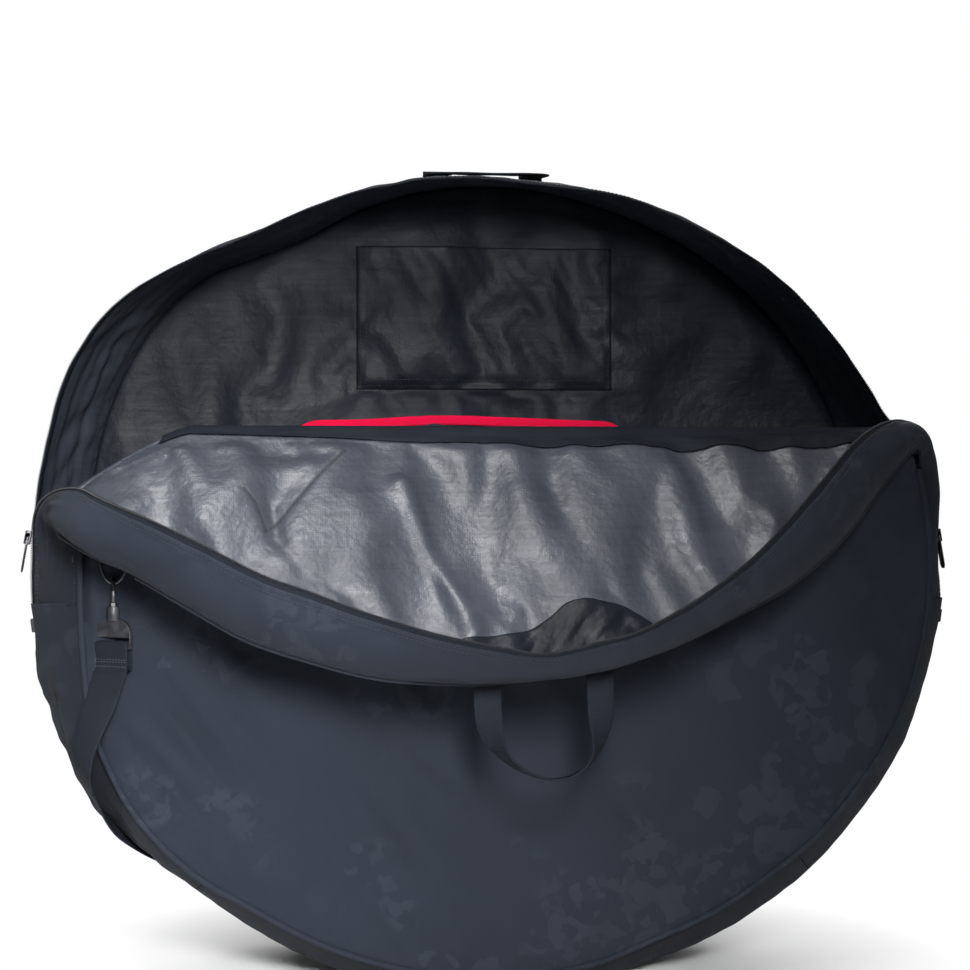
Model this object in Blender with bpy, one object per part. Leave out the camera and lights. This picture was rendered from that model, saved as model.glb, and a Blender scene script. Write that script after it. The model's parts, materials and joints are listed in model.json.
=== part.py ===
"""Two-wheel bike bag: a round padded case that stands on its gusset.

The upper half of the front panel folds down and forward on a straight crease.
Metres, +Z up, +Y to the back of the bag. The origin lies on the ground
under the middle of the bag.
"""
import math

import bmesh
import bpy
from mathutils import Matrix, Vector

# The case
panel_radius = 0.402       # round panels, out to the outside of the piping
seam_lift = 0.004          # lowest point of the round seams above the ground
bag_depth = 0.250          # outside of the front panel to outside of the back
fold_height = 0.530        # crease that the top of the front panel folds on
open_angle = 146           # how far the flap folds from closed, in degrees

# The cloth
fabric = 0.0015            # coated outer fabric
foam = 0.0070              # padding in the panels
lining = 0.0010            # inner lining
piping = 0.0050            # piping cord in the round seams
gap = 0.0003               # left between pieces that touch

# The zip, which lies on a circle of its own
zip_spare = 0.044          # its radius beyond the panels'
zip_shift = 0.0145         # its middle lies this far to the left
zip_drop = 0.012           # its top lies this far below the panels' top
zip_below_fold = 0.166     # its two lower ends below the crease
strip_width = 0.055        # gusset between the front seam and the zip
tape_width = 0.010
coil_width = 0.0020
coil_rise = 0.0008
slider_above_end = 0.062   # where the two sliders are parked

# The gusset below the zip: a base panel sewn between two sides
base_half_angle = 44
# Its slack
bottom_bulge = 0.022
bulge_full_angle = 25      # degrees below the zip's end
bulge_low_angle = 72

# The hood behind the zip is slack too: its top sags, its left shoulder swells
hood_sag = 0.016
hood_swell = 0.030
hood_swell_start = 0.009   # behind the zip
# Where each starts, is at its most and ends: degrees round the bag, 90 at the top
sag_angles = (62, 100, 138)
swell_angles = (122, 152, 184)

# Webbing
web = 0.0020
handle_web = 0.0025
handle_width = 0.025
handle_span = 0.102        # between the middles of a handle's legs
handle_drop = 0.112
handle_patch = 0.034       # length of the sewn ends of a handle
handle_inset = 0.034       # front handle's pivot below the panel's top
fold_tape = 0.0030         # tape along the crease

# Shoulder strap
strap_width = 0.038
strap_lift = 0.0045        # stands off the bag
strap_run = 0.120          # straight below the right yoke's slot
# Shares of the bag's depth over which the strap turns from lying on the
# front panel to lying on the gusset, and from there to the back panel
front_turn_shares = (-0.12, 0.23)
back_turn_shares = (0.70, 1.10)
hairpin = 0.024            # tail of the strap's sewn loops

# Strap ring, snap hook and yoke
ring_wire = 0.0032
ring_width = 0.0250
ring_drop = 0.0250
ring_height = 0.410
ring_inset = 0.023         # ring's middle inside the round seam
tab_height = 0.038
hook_wire = 0.0036
hook_eye = 0.0095
hook_length = 0.0230
stud = 0.0070
stud_length = 0.0130
barrel = 0.0120
yoke_width = 0.0420
yoke_height = 0.0280
yoke_plate = 0.0045
yoke_bar = 0.0050
yoke_slot = 0.0056
gate_plate = 0.0022
gate_width = 0.0032
# The hook's back: how far out and up each bend lies, in shares of the eye
hook_back_shares = ((0.7, 0.6), (1.0, 1.3))
# The yoke's shoulders: shares of its half width and of its height
yoke_shoulder_shares = ((1.0, 0.62), (0.72, 0.90))

# Strap adjuster
adjuster_length = 0.026
adjuster_wall = 0.0022
adjuster_margin = 0.0034
adjuster_drop = 0.045      # below the right yoke's slot
adjuster_window_share = 0.20   # of its length, for each of its two windows

# Divider between the two wheels
divider_width = 0.350
divider_shift = 0.037
divider_top = 0.548
divider_foot = 0.040
divider_padding = 0.008
divider_corner = 0.032
divider_arc_inset = 0.024
binding_lap = 0.009
binding_wall = 0.0012
binding_foot = 0.220       # height of the binding's lower ends
hem_width = 0.180

# Pocket on the back lining
pocket_width = 0.270
pocket_height = 0.150
pocket_bottom = 0.577
pocket_depth = 0.0075
pocket_wall = 0.0012

# Zip sliders and pulls
slider_size = (0.0062, 0.0130, 0.0090)   # out, along the zip, across it
slider_window = (0.0026, 0.0050)
pull_wire = 0.0018
pull_length = 0.033
stop_size = (0.0040, 0.0130, 0.0120)

# Worked out from the sizes above
centre_height = panel_radius + seam_lift
top_height = centre_height + panel_radius
front = -bag_depth / 2
back = bag_depth / 2
zip_radius = panel_radius + zip_spare
zip_end_height = fold_height - zip_below_fold
slider_height = zip_end_height + slider_above_end
gusset_front = front + piping + gap
gusset_back = back - piping - gap
gusset_width = gusset_back - gusset_front
zip_share = strip_width / gusset_width
zip_centre = Vector((-zip_shift, 0, top_height - zip_drop - zip_radius))
layer_radius = panel_radius - piping - gap
fold_proud = gap + gap
fold_clear = fold_tape / 2 + gap
stack = fabric + gap + foam + gap + lining

up = math.pi / 2
zip_right_end = math.asin((zip_end_height - centre_height) / panel_radius)
zip_left_end = math.pi - zip_right_end
seam_gap_angle = gap / panel_radius

COLOURS = {
    "shell": (0.022, 0.026, 0.036, 1),
    "lining": (0.085, 0.09, 0.105, 1),
    "webbing": (0.016, 0.019, 0.027, 1),
    "tape": (0.012, 0.014, 0.02, 1),
    "foam": (0.25, 0.25, 0.27, 1),
    "binding": (0.75, 0.0, 0.055, 1),
    "hardware": (0.02, 0.022, 0.028, 1),
    "wire": (0.12, 0.12, 0.13, 1),
}
ROUGHNESS = {
    "shell": 0.85, "lining": 0.35, "webbing": 0.8, "tape": 0.8,
    "foam": 0.95, "binding": 0.6, "hardware": 0.4, "wire": 0.3,
}


def clear_scene():
    for obj in list(bpy.data.objects):
        bpy.data.objects.remove(obj, do_unlink=True)


def new_collection(name):
    collection = bpy.data.collections.new(name)
    bpy.context.scene.collection.children.link(collection)
    return collection


def paint(obj, finish):
    """Give an object a material of its own."""
    material = bpy.data.materials.new(obj.name)
    material.use_nodes = True
    shader = material.node_tree.nodes["Principled BSDF"]
    shader.inputs["Base Color"].default_value = COLOURS[finish]
    shader.inputs["Roughness"].default_value = ROUGHNESS[finish]
    shader.inputs["Metallic"].default_value = 1.0 if finish == "wire" else 0.0
    obj.data.materials.append(material)


def add(name, data, finish, parent=None, origin=Vector()):
    """Link data, drawn in the closed bag's frame, under a parent's origin."""
    obj = bpy.data.objects.new(name, data)
    bag.objects.link(obj)
    if parent is not None:
        obj.parent = parent
    obj.location = -origin
    paint(obj, finish)
    return obj


def add_empty(name, place, parent=None, parent_place=Vector(), turn=0.0):
    """A body's frame on its joint's axis, turned about X."""
    empty = bpy.data.objects.new(name, None)
    bag.objects.link(empty)
    if parent is not None:
        empty.parent = parent
    empty.location = place - parent_place
    empty.rotation_euler = (turn, 0, 0)
    return empty


def mesh_from(name, points, faces):
    mesh = bpy.data.meshes.new(name)
    mesh.from_pydata([tuple(p) for p in points], [], faces)
    mesh.validate()
    mesh.update()
    return mesh


def loft(name, sections):
    """Skin closed sections of equal point counts and cap both ends."""
    count = len(sections[0])
    points = [p for section in sections for p in section]
    faces = [list(range(count))[::-1]]
    for row in range(len(sections) - 1):
        for i in range(count):
            j = (i + 1) % count
            low = row * count
            faces.append([low + i, low + j, low + count + j, low + count + i])
    last = (len(sections) - 1) * count
    faces.append([last + i for i in range(count)])
    mesh = mesh_from(name, points, faces)
    shell = bmesh.new()
    shell.from_mesh(mesh)
    bmesh.ops.recalc_face_normals(shell, faces=shell.faces)
    shell.to_mesh(mesh)
    shell.free()
    return mesh


def outline_curve(name, outline, thickness):
    """A flat shape in its own XY plane, thickened about that plane."""
    curve = bpy.data.curves.new(name, "CURVE")
    curve.dimensions = "2D"
    curve.fill_mode = "BOTH"
    curve.extrude = thickness / 2
    spline = curve.splines.new("POLY")
    spline.points.add(len(outline) - 1)
    for point, (x, y) in zip(spline.points, outline):
        point.co = (x, y, 0, 1)
    spline.use_cyclic_u = True
    return curve


def upright_plate(name, outline, thickness, middle_y, finish,
                  parent=None, origin=Vector()):
    """A plate in the XZ plane, its middle at middle_y."""
    obj = add(name, outline_curve(name, outline, thickness), finish,
              parent, origin - Vector((0, middle_y, 0)))
    obj.rotation_euler = (up, 0, 0)
    return obj


def tube_curve(name, points, wire, cyclic=False, sides=1):
    curve = bpy.data.curves.new(name, "CURVE")
    curve.dimensions = "3D"
    curve.bevel_depth = wire / 2
    curve.bevel_resolution = sides
    curve.use_fill_caps = not cyclic
    spline = curve.splines.new("POLY")
    spline.points.add(len(points) - 1)
    for point, place in zip(spline.points, points):
        point.co = (*place, 1)
    spline.use_cyclic_u = cyclic
    return curve


def as_mesh(obj):
    """Swap a curve object for a welded mesh object, to be cut or joined."""
    bpy.context.view_layer.update()
    graph = bpy.context.evaluated_depsgraph_get()
    mesh = bpy.data.meshes.new_from_object(obj.evaluated_get(graph))
    shell = bmesh.new()
    shell.from_mesh(mesh)
    bmesh.ops.remove_doubles(shell, verts=shell.verts, dist=gap / 100)
    bmesh.ops.recalc_face_normals(shell, faces=shell.faces)
    shell.to_mesh(mesh)
    shell.free()
    name, parent, place = obj.name, obj.parent, obj.matrix_world.copy()
    bpy.data.objects.remove(obj, do_unlink=True)
    swapped = bpy.data.objects.new(name, mesh)
    bag.objects.link(swapped)
    swapped.parent = parent
    swapped.matrix_world = place
    return swapped


def block(name, size, place, finish, parent=None, origin=Vector()):
    """A box of a size, its middle at a place."""
    mesh = bpy.data.meshes.new(name)
    shell = bmesh.new()
    bmesh.ops.create_cube(shell, size=1)
    bmesh.ops.scale(shell, vec=size, verts=shell.verts)
    shell.to_mesh(mesh)
    shell.free()
    return add(name, mesh, finish, parent, origin - place)


def cut(obj, cutter):
    """Cut one object with another, which stays as a hidden tool."""
    cutter.hide_render = True
    cutter.display_type = "WIRE"
    bag.objects.unlink(cutter)
    cutters.objects.link(cutter)
    modifier = obj.modifiers.new("cut " + cutter.name, "BOOLEAN")
    modifier.operation = "DIFFERENCE"
    modifier.solver = "EXACT"
    modifier.object = cutter


def join(obj, other):
    """Join another object's solid to an object."""
    other.hide_render = True
    other.display_type = "WIRE"
    bag.objects.unlink(other)
    cutters.objects.link(other)
    modifier = obj.modifiers.new("join " + other.name, "BOOLEAN")
    modifier.operation = "UNION"
    modifier.solver = "EXACT"
    modifier.object = other


def smooth_step(value):
    value = min(max(value, 0.0), 1.0)
    return value * value * (3 - 2 * value)


def turned(share, limit_shares):
    """How far a turn between two shares has gone, from 0 to 1."""
    start, end = limit_shares
    return smooth_step((share - start) / (end - start))


def zip_bulge(angle):
    """How far the zip's circle lies beyond the panels' round seam."""
    ray = Vector((math.cos(angle), 0, math.sin(angle)))
    offset = Vector((0, 0, centre_height)) - zip_centre
    along = ray.dot(offset)
    reach = -along + math.sqrt(along ** 2 - offset.length_squared
                               + zip_radius ** 2)
    return reach - panel_radius


def side_bulge(angle):
    """The gusset's slack at an angle round the bag, 0 at +X, 90 at the top."""
    if zip_right_end <= angle <= zip_left_end:
        return zip_bulge(angle)
    if angle > math.pi * 1.5:
        below = zip_right_end + 2 * math.pi - angle
        end = zip_bulge(zip_right_end)
    else:
        below = angle - zip_left_end
        end = zip_bulge(zip_left_end)
    share = (math.degrees(below) - bulge_full_angle)
    share = smooth_step(share / (bulge_low_angle - bulge_full_angle))
    return end + (bottom_bulge - end) * share


def swell(share):
    """Section of the gusset from the front seam, 0, to the back seam, 1."""
    if share < zip_share:
        return math.sin(up * share / zip_share)
    return math.cos(up * (share - zip_share) / (1 - zip_share))


def bell(angle, limits):
    """A share that rises from the first limit to the middle one and falls again."""
    start, peak, end = [math.radians(degrees) for degrees in limits]
    if angle < peak:
        return smooth_step((angle - start) / (peak - start))
    return smooth_step((end - angle) / (end - peak))


def hood_slack(angle, inward):
    """How far the hood lies off the round that it was cut to."""
    depth = inward - strip_width
    if depth < 0:
        return 0.0
    room = gusset_width - strip_width
    sag = hood_sag * bell(angle, sag_angles) * math.cos(up * depth / room)
    share = max((depth - hood_swell_start) / (room - hood_swell_start), 0.0)
    stand = hood_swell * bell(angle, swell_angles) * math.sin(math.pi * share)
    return stand - sag


def gusset_point(angle, inward, lift=0.0):
    """A point on the gusset, inward metres back from its front edge."""
    share = inward / gusset_width
    reach = panel_radius + side_bulge(angle) * swell(share) + lift
    reach += hood_slack(angle, inward)
    x = reach * math.cos(angle)
    z = centre_height + reach * math.sin(angle)
    return Vector((x, gusset_front + inward, max(z, -lift, 0.0)))


def angles_between(start, end, count):
    return [start + (end - start) * i / (count - 1) for i in range(count)]


def gusset_band(name, start, end, near, far, steps, lanes, finish,
                thickness=fabric, lift=0.0, parent=None, origin=Vector()):
    """A band of the gusset between two angles and two depths."""
    depths = angles_between(near, far, lanes)
    sections = []
    for angle in angles_between(start, end, steps):
        outside = [gusset_point(angle, depth, lift) for depth in depths]
        inside = [gusset_point(angle, depth, lift - thickness)
                  for depth in reversed(depths)]
        sections.append(outside + inside)
    return add(name, loft(name, sections), finish, parent, origin)


def circle_points(radius, start, end, count):
    points = []
    for angle in angles_between(start, end, count):
        x = radius * math.cos(angle)
        points.append((x, centre_height + radius * math.sin(angle)))
    return points


def layer_places(side):
    """Thickness and middle of the three layers of a panel, outside first."""
    outer = side * bag_depth / 2
    places = []
    for thickness in (fabric, foam, lining):
        places.append((thickness, outer - side * thickness / 2))
        outer -= side * (thickness + gap)
    return places


def panel(prefix, outline, side, parent=None, origin=Vector()):
    """The three layers of one quilted panel."""
    names = ("outer", "foam", "lining")
    finishes = ("shell", "foam", "lining")
    for name, finish, (thickness, middle) in zip(names, finishes,
                                                 layer_places(side)):
        upright_plate(prefix + "_" + name, outline, thickness, middle,
                      finish, parent, origin)


def piping_cord(name, side, start, end, count, cyclic=False,
                parent=None, origin=Vector()):
    radius = panel_radius - piping / 2
    middle_y = side * (bag_depth - piping) / 2
    points = []
    for x, z in circle_points(radius, start, end, count):
        points.append((x, middle_y, z))
    return add(name, tube_curve(name, points, piping, cyclic), "shell",
               parent, origin)


def angle_at(height, radius):
    """Angle on the right half of the bag at which a circle is at a height."""
    return math.asin((height - centre_height) / radius)


def make_back():
    """Back panel, its piping and the pocket on its lining."""
    step = 2 * math.pi / 72
    circle = circle_points(layer_radius, 0, 2 * math.pi - step, 72)
    panel("back", circle, 1)
    piping_cord("back_piping", 1, 0, 2 * math.pi - step, 72, cyclic=True)

    face = back - stack - gap
    size = Vector((pocket_width, pocket_depth, pocket_height))
    place = Vector((0, face - pocket_depth / 2,
                    pocket_bottom + pocket_height / 2))
    pocket = block("back_pocket", size, place, "lining")
    room = size - Vector((2 * pocket_wall, 0, 0))
    hollow = block("pocket_hollow", room,
                   place + Vector((0, pocket_wall, pocket_wall)), "lining")
    cut(pocket, hollow)


def make_front():
    """Lower front panel, its piping and the tape along the crease."""
    edge = fold_height - fold_clear
    right = angle_at(edge, layer_radius)
    outline = circle_points(layer_radius, right, -math.pi - right, 64)
    panel("front", outline, -1)

    right = angle_at(edge - piping / 2, panel_radius)
    piping_cord("front_piping", -1, right, -math.pi - right, 60)

    reach = math.sqrt(layer_radius ** 2
                      - (fold_height - centre_height) ** 2) - gap
    ends = [(-reach, fold_axis.y, fold_height),
            (reach, fold_axis.y, fold_height)]
    add("fold_tape", tube_curve("fold_tape", ends, fold_tape), "tape")


def make_gusset():
    """The whole gusset below the zip, and its two halves beside the zip."""
    left = zip_left_end + seam_gap_angle
    right = zip_right_end + 2 * math.pi - seam_gap_angle
    down = math.pi + up
    base_left = down - math.radians(base_half_angle)
    base_right = down + math.radians(base_half_angle)
    gusset_band("gusset_side_left", left, base_left - seam_gap_angle,
                0, gusset_width, 20, 9, "shell")
    gusset_band("gusset_base", base_left, base_right,
                0, gusset_width, 24, 9, "shell")
    gusset_band("gusset_side_right", base_right + seam_gap_angle, right,
                0, gusset_width, 20, 9, "shell")

    strip_end = strip_width - tape_width
    back_start = strip_width + tape_width
    gusset_band("gusset_back_strip_right", zip_right_end,
                up - seam_gap_angle, back_start, gusset_width, 25, 9, "shell")
    gusset_band("gusset_back_strip_left", up, zip_left_end,
                back_start, gusset_width, 25, 9, "shell")

    fold_right = angle_at(fold_height - fold_clear, panel_radius)
    spans = (("right", zip_right_end, fold_right),
             ("left", math.pi - fold_right, zip_left_end))
    for side, start, end in spans:
        gusset_band("gusset_front_strip_" + side, start, end,
                    0, strip_end - gap, 9, 5, "shell")
        gusset_band("zip_tape_front_" + side, start, end, strip_end,
                    strip_width - coil_width - gap, 9, 2, "tape")
        gusset_band("zip_teeth_front_" + side, start, end,
                    strip_width - coil_width, strip_width - gap / 2, 9, 2,
                    "hardware", fabric + coil_rise, coil_rise)

    gusset_band("zip_tape_back", zip_right_end, zip_left_end,
                strip_width + coil_width + gap, back_start - gap, 49, 2,
                "tape")
    gusset_band("zip_teeth_back", zip_right_end, zip_left_end,
                strip_width + gap / 2, strip_width + coil_width, 49, 2,
                "hardware", fabric + coil_rise, coil_rise)


def make_flap():
    """Upper half of the front panel with its strip of gusset and its zip."""
    edge = fold_height + fold_clear
    right = angle_at(edge, layer_radius)
    outline = circle_points(layer_radius, right, math.pi - right, 44)
    panel("flap", outline, -1, flap_frame, fold_axis)

    start = angle_at(edge + piping / 2, panel_radius)
    piping_cord("flap_piping", -1, start, math.pi - start, 40,
                parent=flap_frame, origin=fold_axis)

    # The strip starts a little above the crease, where the cloth twists
    start = angle_at(edge + strip_width / 2, panel_radius)
    end = math.pi - start
    strip_end = strip_width - tape_width
    gusset_band("flap_strip", start, end, 0, strip_end - gap, 41, 5,
                "shell", parent=flap_frame, origin=fold_axis)
    gusset_band("zip_tape_flap", start, end, strip_end,
                strip_width - coil_width - gap, 41, 2, "tape",
                parent=flap_frame, origin=fold_axis)
    gusset_band("zip_teeth_flap", start, end, strip_width - coil_width,
                strip_width - gap / 2, 41, 2, "hardware",
                fabric + coil_rise, coil_rise, flap_frame, fold_axis)


def make_slider(side, angle):
    """Zip slider and its pull, at an angle about the zip's own middle."""
    turn = Matrix.Rotation(up - angle, 4, "Y")
    seat = coil_rise + gap
    out, along, across = slider_size
    reach = zip_radius + seat + out / 2
    middle = Vector((zip_centre.x, gusset_front + strip_width, zip_centre.z))
    place = middle + Vector((math.cos(angle), 0, math.sin(angle))) * reach
    slider_frame = add_empty("slider_frame_" + side, middle)

    body = block("zip_slider_" + side, (along, across, out), place,
                 "hardware", slider_frame, middle)
    body.rotation_euler = (0, up - angle, 0)
    window_out, window_along = slider_window
    window_lift = out / 2 - window_out
    window = block("slider_window_" + side,
                   (window_along, across * 2, window_out),
                   place + turn @ Vector((0, 0, window_lift / 2)),
                   "hardware")
    window.rotation_euler = (0, up - angle, 0)
    cut(body, window)

    # The pull is a long loop through the window, laid down the gusset
    pivot = place + turn @ Vector((0, 0, window_lift / 2))
    half = across / 2 + pull_wire / 2 + gap
    down = 1 if side == "right" else -1
    bend = half / 2
    loop = [(0, -half), (0, half)]
    loop.append((pull_length - bend, half))
    loop.append((pull_length, half - bend))
    loop.append((pull_length, bend - half))
    loop.append((pull_length - bend, -half))
    points = [(down * x, y, 0) for x, y in loop]
    frame = add_empty("pull_frame_" + side, pivot, slider_frame, middle)
    frame.rotation_euler = (0, up - angle, 0)
    name = "zip_pull_" + side
    add(name, tube_curve(name, points, pull_wire, cyclic=True), "wire",
        frame)


def make_stop(side, angle):
    """Fabric stop below each end of the zip."""
    out, along, across = stop_size
    slack = along / panel_radius
    beyond = angle + slack if side == "left" else angle - slack
    full = beyond if side == "left" else beyond + 2 * math.pi
    place = gusset_point(full, strip_width, out / 2 + gap)
    stop = block("zip_stop_" + side, (along, across, out), place, "tape")
    stop.rotation_euler = (0, up - beyond, 0)


def webbing_section(middle, across, normal, width, thickness):
    a = across.normalized() * (width / 2)
    n = normal.normalized() * (thickness / 2)
    return [middle - a - n, middle + a - n, middle + a + n, middle - a + n]


def handle_route():
    """Middle line of a handle's flat loop, hanging from its pivot line."""
    half = handle_span / 2
    points = [Vector((-half, 0, 0)), Vector((-half, 0, -handle_drop / 2))]
    bow = handle_drop / 2
    for angle in angles_between(math.pi, 2 * math.pi, 11)[1:-1]:
        x = half * math.cos(angle)
        points.append(Vector((x, 0, -bow + bow * math.sin(angle))))
    points.append(Vector((half, 0, -handle_drop / 2)))
    points.append(Vector((half, 0, 0)))
    return points


def make_handle(name, frame):
    """A flat webbing loop on its frame."""
    route = handle_route()
    sections = []
    for i, point in enumerate(route):
        before = route[max(i - 1, 0)]
        after = route[min(i + 1, len(route) - 1)]
        along = (after - before).normalized()
        across = along.cross(Vector((0, 1, 0)))
        sections.append(webbing_section(point, across, Vector((0, 1, 0)),
                                        handle_width, handle_web))
    return add(name, loft(name, sections), "webbing", frame)


def make_handles():
    """Both carry handles and the sewn ends that hold them."""
    stand_off = handle_web + gap + handle_web / 2 + gap
    size = Vector((handle_width, handle_web, handle_patch))

    pivot = Vector((0, front - stand_off, top_height - handle_inset))
    frame = add_empty("handle_front_frame", pivot, flap_frame, fold_axis,
                      -math.radians(open_angle))
    make_handle("handle_front", frame)
    patch_y = front - gap - handle_web / 2
    for side, sign in (("left", -1), ("right", 1)):
        place = Vector((sign * handle_span / 2, patch_y,
                        pivot.z - handle_patch / 2 + handle_web))
        block("handle_patch_front_" + side, size, place, "webbing",
              flap_frame, fold_axis)

    # The back handle lies forward over the top of the bag
    slope = math.atan2(zip_drop, handle_drop + handle_width)
    pivot = Vector((0, back + stand_off, top_height + handle_web))
    frame = add_empty("handle_back_frame", pivot, turn=slope - up)
    make_handle("handle_back", frame)
    patch_y = back + gap + handle_web / 2
    for side, sign in (("left", -1), ("right", 1)):
        place = Vector((sign * handle_span / 2, patch_y,
                        pivot.z - handle_patch / 2 - handle_web))
        block("handle_patch_back_" + side, size, place, "webbing")


def make_divider():
    """Padded divider with its bound edge, and the hem that it swings on."""
    half = divider_width / 2
    arc_radius = panel_radius - divider_arc_inset
    foot = math.asin((divider_foot - centre_height) / arc_radius)
    left_side = -divider_shift - half
    right_side = -divider_shift + half
    right_angle = -math.acos(right_side / arc_radius)
    left_angle = -math.acos(left_side / arc_radius)
    outline = circle_points(arc_radius, -math.pi - foot, left_angle, 5)
    # Left side, rounded top corners, right side, back down to the foot
    edge = [(left_side, binding_foot)]
    corner_z = divider_top - divider_corner
    for angle in angles_between(math.pi, up, 6):
        edge.append((left_side + divider_corner
                     + divider_corner * math.cos(angle),
                     corner_z + divider_corner * math.sin(angle)))
    for angle in angles_between(up, 0, 6):
        edge.append((right_side - divider_corner
                     + divider_corner * math.cos(angle),
                     corner_z + divider_corner * math.sin(angle)))
    edge.append((right_side, binding_foot))
    outline += edge
    outline += circle_points(arc_radius, right_angle, foot, 5)
    frame = add_empty("divider_frame", divider_axis)
    upright_plate("divider", outline, divider_padding, 0, "shell",
                  frame, divider_axis)

    # Binding: a U of tape round the sides and the top
    reach = divider_padding / 2 + gap
    outside = reach + binding_wall
    profile = [(binding_wall + gap, -outside), (binding_wall + gap, outside),
               (-binding_lap, outside), (-binding_lap, reach),
               (gap, reach), (gap, -reach),
               (-binding_lap, -reach), (-binding_lap, -outside)]
    sections = []
    for i, (x, z) in enumerate(edge):
        x0, z0 = edge[max(i - 1, 0)]
        x1, z1 = edge[min(i + 1, len(edge) - 1)]
        along = Vector((x1 - x0, 0, z1 - z0)).normalized()
        outward = Vector((-along.z, 0, along.x))
        ring = []
        for out, y in profile:
            ring.append(Vector((x, y, z)) + outward * out)
        sections.append(ring)
    add("divider_binding", loft("divider_binding", sections), "binding",
        frame, divider_axis)

    # Hem between the divider's foot and the gusset
    clear = 3 * gap
    base = fabric + gap
    height = divider_foot - clear - base
    place = Vector((0, 0, base + height / 2))
    block("divider_hem", (hem_width, web, height), place, "webbing")


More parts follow.
